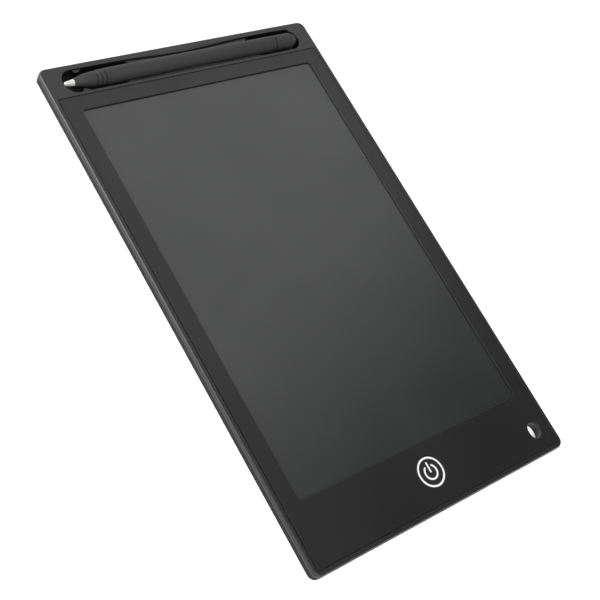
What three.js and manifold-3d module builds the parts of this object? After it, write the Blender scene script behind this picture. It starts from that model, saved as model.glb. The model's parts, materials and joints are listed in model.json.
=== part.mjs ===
// Writing tablet with a liquid crystal film, an erase button, a replaceable coin cell and a stylus in a slot.
// Millimetres. X runs across the screen, Y runs up to the stylus slot and Z points out of the screen.
// The origin is the middle of the flat back, on which the tablet lies.
import * as THREE from 'three';
import { mergeVertices } from 'three/addons/utils/BufferGeometryUtils.js';
import Module from 'manifold-3d';

const wasm = await Module();
wasm.setup();

// Body: a front frame and a rear cover that snap together
const BODY_WIDTH = 138;
const BODY_HEIGHT = 225;
const CORNER_RADIUS = 3.2;
const TOP_EDGE_WIDTH = 0.6;
const TOP_EDGE_HEIGHT = 1.5;
const BOTTOM_EDGE_RADIUS = 0.4;
const WALL_THICKNESS = 1.6;
const FLOOR_THICKNESS = 1;
const SPLIT_HEIGHT = 2.2;
const SPLIT_GROOVE_HEIGHT = 0.25;
const SPLIT_GROOVE_DEPTH = 0.5;
const JOIN_DEPTH = 0.25;

// Faceplate, set into the front frame
const PLATE_THICKNESS = 0.5;
const PLATE_GAP = 0.3;
const PLATE_CORNER_RADIUS = 1;
const RIM_WIDTH = 2;
const LEDGE_THICKNESS = 0.8;
const BEZEL_SIDE = 7.4;
const BEZEL_TOP = 6.65;
const WINDOW_RADIUS = 1.8;

// Film under the window
const FILM_MARGIN = 2.7;
const FILM_THICKNESS = 0.45;
const FILM_RADIUS = 1;
const FILM_CLEARANCE = 0.6;
const TAPE_THICKNESS = 0.15;
const TAPE_SETBACK = 0.6;
const BACKING_THICKNESS = 0.5;
const BACKING_INSET = 0.4;
const SKIRT_THICKNESS = 1;

// Stiffening ribs and snap fingers
const RIB_WIDTH = 0.9;
const SCREEN_RIB_COLUMNS = 5;
const SCREEN_RIB_ROWS = 7;
const FRAME_RIB_ROWS = 9;
const SNAP_ROWS = 4;
const SNAP_LENGTH = 10;
const SNAP_THICKNESS = 0.85;
const SNAP_GAP = 0.15;
const SNAP_FLOOR_GAP = 0.3;
const SNAP_NIB = 0.3;
const SNAP_RECESS_DEPTH = 0.45;

// Erase button
const BUTTON_DROP = 12.3;
const BUTTON_RADIUS = 6.5;
const BUTTON_GAP = 0.25;
const BUTTON_SINK = 0.2;
const BUTTON_EDGE = 0.2;
const BUTTON_TRAVEL = 0.4;
const FLANGE_WIDTH = 1.05;
const FLANGE_THICKNESS = 0.5;
const FLANGE_CLEARANCE = 0.05;
const FLANGE_ROOM = 0.5;
const STEM_RADIUS = 1.6;
const STEM_LENGTH = 0.1;

// White ring and pictogram, set into the button
const RING_MARGIN = 0.25;
const RING_LINE = 0.8;
const SYMBOL_LINE = 0.78;
const ARC_MARGIN = 2.135;
const ARC_OPENING = 37 * Math.PI / 180;
const BAR_MARGIN = 1.2;
const BAR_START = 0.15;
const INLAY_DEPTH = 0.3;
const INLAY_GAP = 0.05;
const INLAY_PROUD = 0.02;

// Lanyard hole, right through the tablet
const HOLE_MARGIN_X = 10.5;
const HOLE_MARGIN_Y = 11;
const HOLE_WIDTH = 6;
const HOLE_LENGTH = 7.3;
const HOLE_FRONT_BEVEL = 0.4;
const HOLE_BACK_BEVEL = 0.4;
const HOLE_WALL = 1;

// Slot for the stylus
const SLOT_SIDE_MARGIN = 8;
const SLOT_TOP_WALL = 2.85;
const SLOT_LOWER_WALL = 1.5;
const SLOT_FLOOR_THICKNESS = 0.8;
const FINGER_ROOM = 1.95;
const PINCH_CLEARANCE = 0.6;
const PINCH_HALF_LENGTH = 36;
const CRADLE_HALF_LENGTH = 37;
const CRADLE_SINK = 0.9;
const CRADLE_CLEARANCE = 0.25;
const NUB_SINK = 0.65;
const NUB_LENGTH = 4.2;
const NUB_DEPTH = 1.5;
const NUB_MARGIN = 6.9;

// Stylus
const PEN_RADIUS = 3.45;
const PEN_OFFSET = 0.4;
const PEN_SHIFT = 0.2;
const PEN_END_CLEARANCE = 0.45;
const PEN_FLOOR_CLEARANCE = 0.15;
const PEN_WALL = 0.9;
const PEN_JOINT_GAP = 0.12;
const SPIGOT_CLEARANCE = 0.1;
const SPIGOT_LENGTH = 5;
const GROOVE_DEPTH = 0.35;
const GROOVE_WIDTH = 0.7;
const FINE_GROOVE_DEPTH = 0.15;
const FINE_GROOVE_WIDTH = 0.5;
const NIB_LENGTH = 4.4;
const NIB_RADIUS = 1.4;
const NIB_POINT_RADIUS = 0.9;
const NIB_SHANK_RADIUS = 0.95;
const NIB_SHANK_LENGTH = 4;
const NOSE_LENGTH = 15.5;
const NOSE_MOUTH_WALL = 0.3;
const CAP_LENGTH = 13.55;
const CAP_TAPER_LENGTH = 2.95;
const CAP_END_RADIUS = 0.9;
const CAP_END_LENGTH = 0.55;
const CAP_GROOVES = 2;
const CAP_GROOVE_STEP = 2;
const CAP_FINE_GROOVES = 5;
const CAP_FINE_MARGIN = 0.9;

// Taper of the nose cone: shares of its length and of its gain in radius, and where its grooves are
const NOSE_PROFILE_SHARES = [
  [0, 0], [0.07, 0.05], [0.18, 0.34], [0.28, 0.55], [0.47, 0.7], [0.67, 0.86], [0.8, 0.93], [0.97, 1],
];
const NOSE_GROOVE_SHARES = [0.742, 0.871];

// Coin cell, its cup in the rear cover and its contacts
const CELL_RADIUS = 10;
const CELL_THICKNESS = 1.6;
const CELL_STEP = 0.45;
const CELL_STEP_INSET = 1.2;
const CELL_EDGE = 0.22;
const CELL_LIFT = 0.35;
const CELL_HEADROOM = 0.75;
const CUP_CLEARANCE = 0.4;
const CUP_WALL = 0.7;
const CUP_ROOF = 0.6;
const CUP_TOP_CLEARANCE = 0.1;
const CUP_WALL_GAP = 0.4;
const CUP_FILM_GAP = 0.6;
const CONTACT_THICKNESS = 0.2;
const CONTACT_WIDTH = 2.4;
const CONTACT_SPACING = 3.2;
const CONTACT_GAP = 0.05;
const CONTACT_BOW = 2.6;
const CONTACT_TAIL = 5.2;
const CONTACT_LANDING = 4.5;
const CONTACT_DROP = 0.35;
const CONTACT_ROOM = 0.2;

// Battery door
const DOOR_LAND_GAP = 0.1;
const DOOR_GAP = 0.3;
const DOOR_RADIUS = 1.6;
const DOOR_LEDGE = 0.8;
const DOOR_TONGUE_LEDGE = 1.6;
const DOOR_SCREW_LEDGE = 9;
const DOOR_CHAMFER = 0.5;
const DOOR_RING_INSET = 2;
const DOOR_RING_WIDTH = 1;
const LAND_THICKNESS = 0.8;
const LAND_MARGIN = 1;
const TONGUE_WIDTH = 4;
const TONGUE_THICKNESS = 0.6;
const TONGUE_REACH = 1.4;
const TONGUE_ROOT = 0.9;
const TONGUE_INSET = 4.7;
const TONGUE_CLEARANCE = 0.15;
const TONGUE_ROOM = 0.3;

// Door screw and its boss
const DOOR_SCREW_INSET = 4;
const DOOR_SCREW_HEAD_RADIUS = 1.5;
const DOOR_SCREW_HEAD = 0.5;
const DOOR_SCREW_RADIUS = 0.75;
const DOOR_SCREW_LENGTH = 2.1;
const DOOR_SCREW_SINK = 0.1;
const DOOR_SCREW_CLEARANCE = 0.1;
const BOSS_CLEARANCE = 0.3;
const BOSS_WALL = 1.15;
const BOSS_ROOF_GAP = 0.1;

// Circuit board and its screws
const BOARD_LEFT_REACH = 19;
const BOARD_LENGTH = 53;
const BOARD_WIDTH = 13.4;
const BOARD_THICKNESS = 0.6;
const BOARD_LIFT = 0.5;
const BOARD_GAP = 0.5;
const BOARD_RELIEF = 0.4;
const BOARD_CELL_GAP = 1.6;
const BOARD_CORNER = 0.3;
const BOARD_SCREW_INSET = 2.6;
const BOARD_SCREW_FIRST_INSET = 6;
const BOARD_SCREW_HEAD_RADIUS = 1.5;
const BOARD_SCREW_HEAD = 0.6;
const BOARD_SCREW_RADIUS = 0.75;
const BOARD_SCREW_BITE = 0.9;
const BOARD_SCREW_CLEARANCE = 0.2;
const BOARD_SCREW_TIP_GAP = 0.1;
const STANDOFF_WALL = 1.25;
const CROSS_WIDTH = 0.4;
const CROSS_DEPTH = 0.25;
const CROSS_SHARE = 0.6;

// Parts on the board: length, width and height, and places as shares of the board's length and width
const CHIP_SIZE = [5, 4, 0.9];
const CHIP_SHARES = [0.566, 0.53];
const INDUCTOR_SIZE = [4, 4, 0.95];
const INDUCTOR_SHARES = [0.708, 0.664];
const CAPACITOR_SIZE = [1.6, 0.8, 0.8];
const CAPACITOR_SHARES = [[0.64, 0.828], [0.64, 0.709]];
const RESISTOR_SIZE = [1.6, 0.8, 0.45];
const RESISTOR_SHARES = [0.245, 0.694];
const TAIL_SHARE = 0.472;
const LOCK_SHARE = 0.811;
const COMPONENT_CORNER = 0.2;

// Switch under the button
const TACT_SIZE = 4.6;
const TACT_CORNER = 0.4;
const PLUNGER_RADIUS = 1.2;
const PLUNGER_PROUD = 0.4;
const PLUNGER_ROOM = 0.1;
const PLUNGER_GAP = 0.05;

// Lock switch on the board
const LOCK_TRAVEL = 2;
const LOCK_BODY_LENGTH = 7.2;
const LOCK_BODY_WIDTH = 2.8;
const LOCK_BODY_HEIGHT = 1;
const LOCK_BODY_WALL = 0.3;
const ACTUATOR_WIDTH = 1.2;
const ACTUATOR_THICKNESS = 0.4;
const ACTUATOR_REACH = 1.9;
const ACTUATOR_ROOM = 0.1;

// Slider on the back that works the lock switch
const KNOB_LENGTH = 4.6;
const KNOB_WIDTH = 2.6;
const KNOB_DROP = 1.7;
const KNOB_GAP = 0.2;
const KNOB_SINK = 0.1;
const KNOB_GROOVES = 3;
const KNOB_GROOVE_WIDTH = 0.4;
const KNOB_GROOVE_DEPTH = 0.25;
const SLIDER_OVERLAP = 0.5;
const SLIDER_THICKNESS = 0.4;
const SLIDER_CLEARANCE = 0.05;
const PRONG_WIDTH = 0.8;
const PRONG_LENGTH = 1.4;
const SCOOP_DEPTH = 0.5;
const SCOOP_SIDE = 1.9;
const SCOOP_END = 0.95;

// Flexible lead from the film to the board
const TAIL_WIDTH = 8;
const TAIL_THICKNESS = 0.1;
const TAIL_LAP = 1.3;
const TAIL_LANDING = 2.4;
const TAIL_ROOM = 0.5;

// Counts of facets, and how far a cutter runs past what it cuts
const COARSE_STEPS = 1;
const LOW_EDGE_STEPS = 2;
const CORNER_STEPS = 3;
const TOP_EDGE_STEPS = 4;
const OVAL_STEPS = 6;
const ROUND_STEPS = 8;
const FINE_STEPS = 18;
const PINCH_STEPS = 20;
const PEN_SIDES = 32;
const OVERRUN = 1;
const MERGE_TOLERANCE = 1e-4;

// Heights: the body is as thick as the door, the coin cell, its cup and the faceplate need
const DOOR_THICKNESS = FLOOR_THICKNESS - DOOR_LAND_GAP;
const CELL_LOW = DOOR_THICKNESS + CELL_LIFT;
const CUP_CEILING = CELL_LOW + CELL_THICKNESS + CELL_HEADROOM;
const CUP_TOP = CUP_CEILING + CUP_ROOF;
const PLATE_SEAT = CUP_TOP + CUP_TOP_CLEARANCE;
const BODY_THICKNESS = PLATE_SEAT + PLATE_THICKNESS;
const UNDERSIDE = PLATE_SEAT - LEDGE_THICKNESS;
const FILM_DEPTH = TAPE_THICKNESS + FILM_THICKNESS;
const BACKING_LOW = PLATE_SEAT - FILM_DEPTH - BACKING_THICKNESS;
const BOARD_LOW = FLOOR_THICKNESS + BOARD_LIFT;
const BOARD_TOP_FACE = BOARD_LOW + BOARD_THICKNESS;
const LAND_TOP = FLOOR_THICKNESS + LAND_THICKNESS;
const PEN_AXIS = SLOT_FLOOR_THICKNESS + PEN_FLOOR_CLEARANCE + PEN_RADIUS;

// Places across the tablet
const RIGHT = BODY_WIDTH / 2;
const TOP = BODY_HEIGHT / 2;
const BOTTOM = -TOP;
const INNER_RIGHT = RIGHT - WALL_THICKNESS;
const INNER_BOTTOM = BOTTOM + WALL_THICKNESS;
const SEAT_RIGHT = RIGHT - RIM_WIDTH;
const SEAT_BOTTOM = BOTTOM + RIM_WIDTH;
const SLOT_HALF_WIDTH = PEN_RADIUS + FINGER_ROOM;
const SLOT_END = RIGHT - SLOT_SIDE_MARGIN;
const SLOT_Y = TOP - SLOT_TOP_WALL - SLOT_HALF_WIDTH;
const PEN_Y = SLOT_Y - PEN_OFFSET;
const PEN_END = SLOT_END - PEN_END_CLEARANCE;
const SEAT_TOP = SLOT_Y - SLOT_HALF_WIDTH - SLOT_LOWER_WALL;
const CUP_INNER = CELL_RADIUS + CUP_CLEARANCE;
const CUP_OUTER = CUP_INNER + CUP_WALL;
const CELL_Y = INNER_BOTTOM + CUP_WALL_GAP + CUP_OUTER;
const FILM_RIGHT = SEAT_RIGHT - PLATE_GAP - BEZEL_SIDE + FILM_MARGIN;
const FILM_BOTTOM = CELL_Y + CUP_OUTER + CUP_FILM_GAP;
const FILM_TOP = SEAT_TOP - PLATE_GAP - BEZEL_TOP + FILM_MARGIN;
const BUTTON_Y = FILM_BOTTOM + FILM_MARGIN - BUTTON_DROP;
const BOARD_LEFT = -BOARD_LEFT_REACH;
const BOARD_RIGHT = BOARD_LEFT + BOARD_LENGTH;
const BOARD_TOP = FILM_BOTTOM - FILM_CLEARANCE - SKIRT_THICKNESS - BOARD_GAP;
const BOARD_BOTTOM = BOARD_TOP - BOARD_WIDTH;
const TAIL_X = BOARD_LEFT + BOARD_LENGTH * TAIL_SHARE;
const LOCK_X = BOARD_LEFT + BOARD_LENGTH * LOCK_SHARE;
const DOOR_RIGHT_REACH = CUP_INNER + DOOR_TONGUE_LEDGE;
const DOOR_LEFT_REACH = CUP_INNER + DOOR_SCREW_LEDGE;
const DOOR_HALF = CUP_INNER + DOOR_LEDGE;
const DOOR_SCREW_REACH = DOOR_LEFT_REACH - DOOR_SCREW_INSET;
const TONGUE_OFFSET = DOOR_HALF - TONGUE_INSET;
const CELL_X = BOARD_LEFT - BOARD_CELL_GAP - TONGUE_REACH - DOOR_RIGHT_REACH;
const HOLE_X = RIGHT - HOLE_MARGIN_X;
const HOLE_Y = BOTTOM + HOLE_MARGIN_Y;

// Looks
const FRAME_BLACK = { color: 0x232325, roughness: 0.5, metalness: 0 };
const PLATE_BLACK = { color: 0x1e1e20, roughness: 0.35, metalness: 0 };
const COVER_BLACK = { color: 0x262628, roughness: 0.6, metalness: 0 };
const SCREEN_GREY = { color: 0x3c4042, roughness: 0.3, metalness: 0 };
const TAPE_GREY = { color: 0x8c8c88, roughness: 0.8, metalness: 0 };
const SHEET_BLACK = { color: 0x151515, roughness: 0.9, metalness: 0 };
const BUTTON_BLACK = { color: 0x202022, roughness: 0.45, metalness: 0 };
const PRINT_WHITE = { color: 0xf4f4f4, roughness: 0.5, metalness: 0 };
const PEN_BLACK = { color: 0x2a2a2c, roughness: 0.45, metalness: 0 };
const NIB_GREY = { color: 0xc4c4c2, roughness: 0.5, metalness: 0 };
const BOARD_GREEN = { color: 0x1c4a2c, roughness: 0.5, metalness: 0 };
const CHIP_BLACK = { color: 0x18181a, roughness: 0.5, metalness: 0 };
const CERAMIC_TAN = { color: 0x9c7b52, roughness: 0.5, metalness: 0 };
const FLEX_COPPER = { color: 0xb87333, roughness: 0.4, metalness: 0.3 };
const SPRING_STEEL = { color: 0xb8babc, roughness: 0.3, metalness: 1 };
const CELL_STEEL = { color: 0xc8cacc, roughness: 0.25, metalness: 1 };
const SCREW_STEEL = { color: 0x6c6e72, roughness: 0.35, metalness: 1 };

const tablet = new THREE.Group();
const shell = addGroup(tablet, 0, 0, 0);
const screen = addGroup(tablet, 0, 0, PLATE_SEAT);
const button = addGroup(tablet, 0, BUTTON_Y, 0);
const battery = addGroup(tablet, CELL_X, CELL_Y, 0);
const board = addGroup(tablet, BOARD_LEFT, BOARD_BOTTOM, BOARD_TOP_FACE);
const lock = addGroup(tablet, LOCK_X - LOCK_TRAVEL / 2, BOARD_BOTTOM, 0);
const stylus = addGroup(tablet, -PEN_SHIFT, PEN_Y, PEN_AXIS);
stylus.rotation.z = -Math.PI / 2;

function addGroup(parent, x, y, z) {
  const group = new THREE.Group();
  group.position.set(x, y, z);
  parent.add(group);
  return group;
}

// Adds a piece to a group, at its place in the group.
function addPiece(group, name, look, solid, x = 0, y = 0, z = 0) {
  const mesh = new THREE.Mesh(toGeometry(solid), new THREE.MeshStandardMaterial(look));
  mesh.name = name;
  mesh.position.set(x, y, z);
  group.add(mesh);
}

// Turns a closed geometry into a solid that can be joined and cut.
function toSolid(geometry) {
  const bare = geometry.clone();
  bare.deleteAttribute('normal');
  bare.deleteAttribute('uv');
  const merged = mergeVertices(bare, MERGE_TOLERANCE);
  const index = merged.index.array;
  const corners = [];
  for (let i = 0; i < index.length; i += 3) {
    const [a, b, c] = [index[i], index[i + 1], index[i + 2]];
    if (a !== b && b !== c && c !== a) {
      corners.push(a, b, c);
    }
  }
  return new wasm.Manifold(new wasm.Mesh({
    numProp: 3,
    vertProperties: merged.attributes.position.array,
    triVerts: new Uint32Array(corners),
  }));
}

// Turns a solid back into a geometry for a mesh.
function toGeometry(solid) {
  const mesh = solid.getMesh();
  const geometry = new THREE.BufferGeometry();
  geometry.setAttribute('position', new THREE.BufferAttribute(mesh.vertProperties, 3));
  geometry.setIndex(new THREE.BufferAttribute(mesh.triVerts, 1));
  geometry.computeVertexNormals();
  return geometry;
}

// Outline of a rectangle with round corners.
function roundedRectangle(left, right, bottom, top, radius) {
  const quarter = Math.PI / 2;
  const shape = new THREE.Shape();
  shape.absarc(right - radius, bottom + radius, radius, -quarter, 0);
  shape.absarc(right - radius, top - radius, radius, 0, quarter);
  shape.absarc(left + radius, top - radius, radius, quarter, 2 * quarter);
  shape.absarc(left + radius, bottom + radius, radius, 2 * quarter, 3 * quarter);
  return shape;
}

// Outline of a rounded rectangle about the middle line of the tablet, moved in by an inset.
function centredOutline(right, bottom, top, radius, inset = 0) {
  return roundedRectangle(inset - right, right - inset, bottom + inset, top - inset, radius);
}

// Outline of an oval with round ends that stands along Y, grown all round.
function uprightOval(x, y, width, length, grow = 0) {
  const radius = width / 2;
  const reach = length / 2 - radius;
  const shape = new THREE.Shape();
  shape.absarc(x, y + reach, radius + grow, 0, Math.PI);
  shape.absarc(x, y - reach, radius + grow, Math.PI, 2 * Math.PI);
  return shape;
}

function circle(x, y, radius) {
  const shape = new THREE.Shape();
  shape.absarc(x, y, radius, 0, 2 * Math.PI);
  return shape;
}

// Straight-sided plate between two heights.
function plate(shape, low, high, steps = CORNER_STEPS) {
  const geometry = new THREE.ExtrudeGeometry(shape, {
    depth: high - low,
    bevelEnabled: false,
    curveSegments: steps,
  });
  geometry.translate(0, 0, low);
  return toSolid(geometry);
}

// Plate with both rims rounded to a quarter of an ellipse, inside the outline.
function softPlate(shape, low, high, edgeWidth, edgeHeight, edgeSteps) {
  const geometry = new THREE.ExtrudeGeometry(shape, {
    depth: high - low - 2 * edgeHeight,
    bevelThickness: edgeHeight,
    bevelSize: edgeWidth,
    bevelOffset: -edgeWidth,
    bevelSegments: edgeSteps,
    curveSegments: CORNER_STEPS,
  });
  geometry.translate(0, 0, low + edgeHeight);
  return toSolid(geometry);
}

// Cutter that flares a hole at 45 degrees where it meets a face; out is 1 upwards and -1 downwards.
function flare(shape, face, bevel, out) {
  const geometry = new THREE.ExtrudeGeometry(shape, {
    depth: bevel,
    bevelThickness: bevel,
    bevelSize: bevel,
    bevelSegments: 1,
    curveSegments: OVAL_STEPS,
  });
  geometry.translate(0, 0, out > 0 ? face : face - bevel);
  return toSolid(geometry);
}

function block(left, right, bottom, top, low, high) {
  const geometry = new THREE.BoxGeometry(right - left, top - bottom, high - low);
  geometry.translate((left + right) / 2, (bottom + top) / 2, (low + high) / 2);
  return toSolid(geometry);
}

// Slab wider than the whole tablet.
function slab(low, high) {
  return block(-BODY_WIDTH, BODY_WIDTH, -BODY_HEIGHT, BODY_HEIGHT, low, high);
}

function rod(x, y, radius, low, high, steps = ROUND_STEPS) {
  return plate(circle(x, y, radius), low, high, steps);
}

// Body turned about an upright axis, from a profile of radius and height.
function turned(profile, sides) {
  const points = profile.map(([radius, height]) => new THREE.Vector2(radius, height));
  const geometry = new THREE.LatheGeometry(points, sides);
  geometry.rotateX(Math.PI / 2);
  return toSolid(geometry);
}

// Outline of a strip of even thickness that follows a bent line.
function ribbon(line, thickness) {
  const half = thickness / 2;
  const points = line.map(([a, b]) => new THREE.Vector2(a, b));
  const legs = points.slice(1).map((point, i) => point.clone().sub(points[i]).normalize());
  const left = [];
  const right = [];
  points.forEach((point, i) => {
    const before = legs[Math.max(i - 1, 0)];
    const after = legs[Math.min(i, legs.length - 1)];
    const mean = before.clone().add(after).normalize();
    const reach = half / mean.dot(before);
    const side = new THREE.Vector2(-mean.y, mean.x).multiplyScalar(reach);
    left.push(point.clone().add(side));
    right.push(point.clone().sub(side));
  });
  return new THREE.Shape([...right, ...left.reverse()]);
}

// Solid of one section, drawn as X and Z, from one Y to another.
function alongY(shape, bottom, top) {
  const geometry = new THREE.ExtrudeGeometry(shape, { depth: top - bottom, bevelEnabled: false });
  geometry.rotateX(Math.PI / 2);
  geometry.translate(0, top, 0);
  return toSolid(geometry);
}

// Solid of one section, drawn as Y and Z, from one X to another.
function alongX(shape, left, right) {
  const geometry = new THREE.ExtrudeGeometry(shape, { depth: right - left, bevelEnabled: false });
  const axes = new THREE.Matrix4().makeBasis(
    new THREE.Vector3(0, 1, 0),
    new THREE.Vector3(0, 0, 1),
    new THREE.Vector3(1, 0, 0),
  );
  geometry.applyMatrix4(axes);
  geometry.translate(left, 0, 0);
  return toSolid(geometry);
}

// Evenly spaced places between two ends, without the ends.
function between(first, last, count) {
  const step = (last - first) / (count + 1);
  return Array.from({ length: count }, (unused, i) => first + step * (i + 1));
}

// Half the width of the stylus slot: it draws in towards the middle, where it grips the barrel.
function slotHalfWidth(x) {
  const share = Math.min(Math.abs(x) / PINCH_HALF_LENGTH, 1);
  return SLOT_HALF_WIDTH - (FINGER_ROOM - PINCH_CLEARANCE) * (1 + Math.cos(Math.PI * share)) / 2;
}

function slotOutline() {
  const quarter = Math.PI / 2;
  const centre = SLOT_END - SLOT_HALF_WIDTH;
  const shape = new THREE.Shape();
  shape.absarc(centre, SLOT_Y, SLOT_HALF_WIDTH, -quarter, quarter);
  for (let i = 0; i <= PINCH_STEPS; i += 1) {
    const x = PINCH_HALF_LENGTH * (1 - 2 * i / PINCH_STEPS);
    shape.lineTo(x, SLOT_Y + slotHalfWidth(x));
  }
  shape.absarc(-centre, SLOT_Y, SLOT_HALF_WIDTH, quarter, 3 * quarter);
  for (let i = 0; i <= PINCH_STEPS; i += 1) {
    const x = PINCH_HALF_LENGTH * (2 * i / PINCH_STEPS - 1);
    shape.lineTo(x, SLOT_Y - slotHalfWidth(x));
  }
  return shape;
}

// Small wedge on a wall of the slot, beside the nib; side is 1 for the upper wall and -1 for the lower one.
function slotNub(side) {
  const start = -SLOT_END + NUB_MARGIN;
  const wall = SLOT_Y + side * (SLOT_HALF_WIDTH + OVERRUN);
  const face = SLOT_Y + side * SLOT_HALF_WIDTH;
  const crest = SLOT_Y + side * (SLOT_HALF_WIDTH - NUB_DEPTH);
  const shape = new THREE.Shape();
  shape.moveTo(start, wall);
  shape.lineTo(start, face);
  shape.quadraticCurveTo(start, crest, start + NUB_DEPTH, crest);
  shape.lineTo(start + NUB_LENGTH, face);
  shape.lineTo(start + NUB_LENGTH, wall);
  return plate(shape, 0, BODY_THICKNESS - NUB_SINK);
}

// Everything that is cut out of the frame and the rear cover for the stylus.
function slotCutter() {
  const high = BODY_THICKNESS + OVERRUN;
  const reach = SLOT_HALF_WIDTH + OVERRUN;
  const half = PEN_RADIUS + CRADLE_CLEARANCE;
  const long = CRADLE_HALF_LENGTH;
  const ledges = block(-long, long, SLOT_Y - reach, SLOT_Y + reach, 0, BODY_THICKNESS - CRADLE_SINK)
    .subtract(block(-BODY_WIDTH, BODY_WIDTH, PEN_Y - half, PEN_Y + half, -OVERRUN, high));
  return plate(slotOutline(), SLOT_FLOOR_THICKNESS, high, OVAL_STEPS)
    .subtract(ledges)
    .subtract(slotNub(1))
    .subtract(slotNub(-1));
}

// Hollow between the frame or cover walls and the block that carries the stylus slot.
function innerOutline() {
  return centredOutline(INNER_RIGHT, INNER_BOTTOM, SEAT_TOP, CORNER_RADIUS - WALL_THICKNESS / 2);
}

function bodyOutline(inset = 0) {
  return centredOutline(RIGHT, BOTTOM, TOP, CORNER_RADIUS - inset, inset);
}

function filmOutline(grow) {
  return centredOutline(FILM_RIGHT, FILM_BOTTOM, FILM_TOP, FILM_RADIUS, -grow);
}

function holeOutline(grow = 0) {
  return uprightOval(HOLE_X, HOLE_Y, HOLE_WIDTH, HOLE_LENGTH, grow);
}

// Places of the snap fingers along both long sides.
const snapRows = between(SEAT_BOTTOM, SEAT_TOP, SNAP_ROWS);
const snapLow = FLOOR_THICKNESS + SNAP_FLOOR_GAP;

// Finger on the frame with a wedge-shaped nib that faces the side wall.
function snapFinger(side, y) {
  const face = INNER_RIGHT - SNAP_GAP;
  const root = UNDERSIDE + JOIN_DEPTH;
  const shape = new THREE.Shape();
  shape.moveTo(side * (face - SNAP_THICKNESS), snapLow);
  shape.lineTo(side * face, snapLow);
  shape.lineTo(side * (face + SNAP_NIB), snapLow + SNAP_NIB);
  shape.lineTo(side * face, snapLow + 2 * SNAP_NIB);
  shape.lineTo(side * face, root);
  shape.lineTo(side * (face - SNAP_THICKNESS), root);
  return alongY(shape, y - SNAP_LENGTH / 2, y + SNAP_LENGTH / 2);
}

// Recess in the cover's wall that takes the nib.
function snapRecess(side, y) {
  const room = SNAP_RECESS_DEPTH - SNAP_NIB;
  const half = SNAP_LENGTH / 2 + room;
  const inner = side * (INNER_RIGHT - OVERRUN);
  const outer = side * (INNER_RIGHT + SNAP_RECESS_DEPTH);
  return block(Math.min(inner, outer), Math.max(inner, outer), y - half, y + half,
    snapLow - room, snapLow + 2 * SNAP_NIB + room);
}

function makeFrontFrame() {
  const low = 0;
  const high = BODY_THICKNESS + OVERRUN;
  let frame = softPlate(bodyOutline(), -BODY_THICKNESS, BODY_THICKNESS,
    TOP_EDGE_WIDTH, TOP_EDGE_HEIGHT, TOP_EDGE_STEPS)
    .subtract(slab(-2 * BODY_THICKNESS, SPLIT_HEIGHT));

  // Seat of the faceplate and the opening for the film.
  frame = frame
    .subtract(plate(
      centredOutline(SEAT_RIGHT, SEAT_BOTTOM, SEAT_TOP, PLATE_CORNER_RADIUS + PLATE_GAP), PLATE_SEAT, high,
    ))
    .subtract(plate(filmOutline(FILM_CLEARANCE), low, high));

  // Hollow underside: a skirt round the film, short cross ribs and a tube round the lanyard hole stay.
  let hollow = plate(innerOutline(), low, UNDERSIDE)
    .subtract(plate(filmOutline(FILM_CLEARANCE + SKIRT_THICKNESS), low - OVERRUN, high))
    .subtract(plate(holeOutline(HOLE_WALL), low - OVERRUN, high, OVAL_STEPS));
  for (const y of between(FILM_BOTTOM, FILM_TOP, FRAME_RIB_ROWS)) {
    hollow = hollow.subtract(block(-RIGHT, RIGHT, y - RIB_WIDTH / 2, y + RIB_WIDTH / 2, low - OVERRUN, high));
  }
  frame = frame.subtract(hollow);
  for (const y of snapRows) {
    frame = frame.add(snapFinger(-1, y)).add(snapFinger(1, y));
  }

  // Room for the button's flange, the cell cup, the board and the flexible lead.
  const flangeHole = BUTTON_RADIUS + FLANGE_WIDTH + FLANGE_ROOM;
  const tailHalf = TAIL_WIDTH / 2 + TAIL_ROOM;
  const skirtLow = FILM_BOTTOM - FILM_CLEARANCE - SKIRT_THICKNESS;
  frame = frame
    .subtract(rod(0, BUTTON_Y, flangeHole, low, PLATE_SEAT, FINE_STEPS))
    .subtract(rod(CELL_X, CELL_Y, CUP_OUTER + CUP_CLEARANCE, low, PLATE_SEAT, FINE_STEPS))
    .subtract(block(BOARD_LEFT - BOARD_GAP, BOARD_RIGHT + BOARD_GAP, LOCK_Y - sliderSide - BOARD_GAP,
      BOARD_TOP, low, UNDERSIDE + BOARD_RELIEF))
    .subtract(block(TAIL_X - tailHalf, TAIL_X + tailHalf, skirtLow - BOARD_GAP, FILM_BOTTOM, low, UNDERSIDE));

  // Lanyard hole, stylus slot and the shadow groove along the parting line.
  const groove = slab(low, SPLIT_HEIGHT + SPLIT_GROOVE_HEIGHT)
    .subtract(plate(bodyOutline(SPLIT_GROOVE_DEPTH), low - OVERRUN, high));
  return frame
    .subtract(plate(holeOutline(), low, high, OVAL_STEPS))
    .subtract(slotCutter())
    .subtract(groove);
}

function makeFaceplate() {
  const outline = centredOutline(SEAT_RIGHT, SEAT_BOTTOM, SEAT_TOP, PLATE_CORNER_RADIUS, PLATE_GAP);
  const window = centredOutline(FILM_RIGHT, FILM_BOTTOM, FILM_TOP, WINDOW_RADIUS, FILM_MARGIN);
  const high = PLATE_THICKNESS + OVERRUN;
  return plate(outline, 0, PLATE_THICKNESS)
    .subtract(plate(window, -OVERRUN, high))
    .subtract(rod(0, BUTTON_Y, BUTTON_RADIUS + BUTTON_GAP, -OVERRUN, high, FINE_STEPS))
    .subtract(plate(holeOutline(), -OVERRUN, high, OVAL_STEPS))
    .subtract(flare(holeOutline(), PLATE_THICKNESS, HOLE_FRONT_BEVEL, 1));
}

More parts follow.
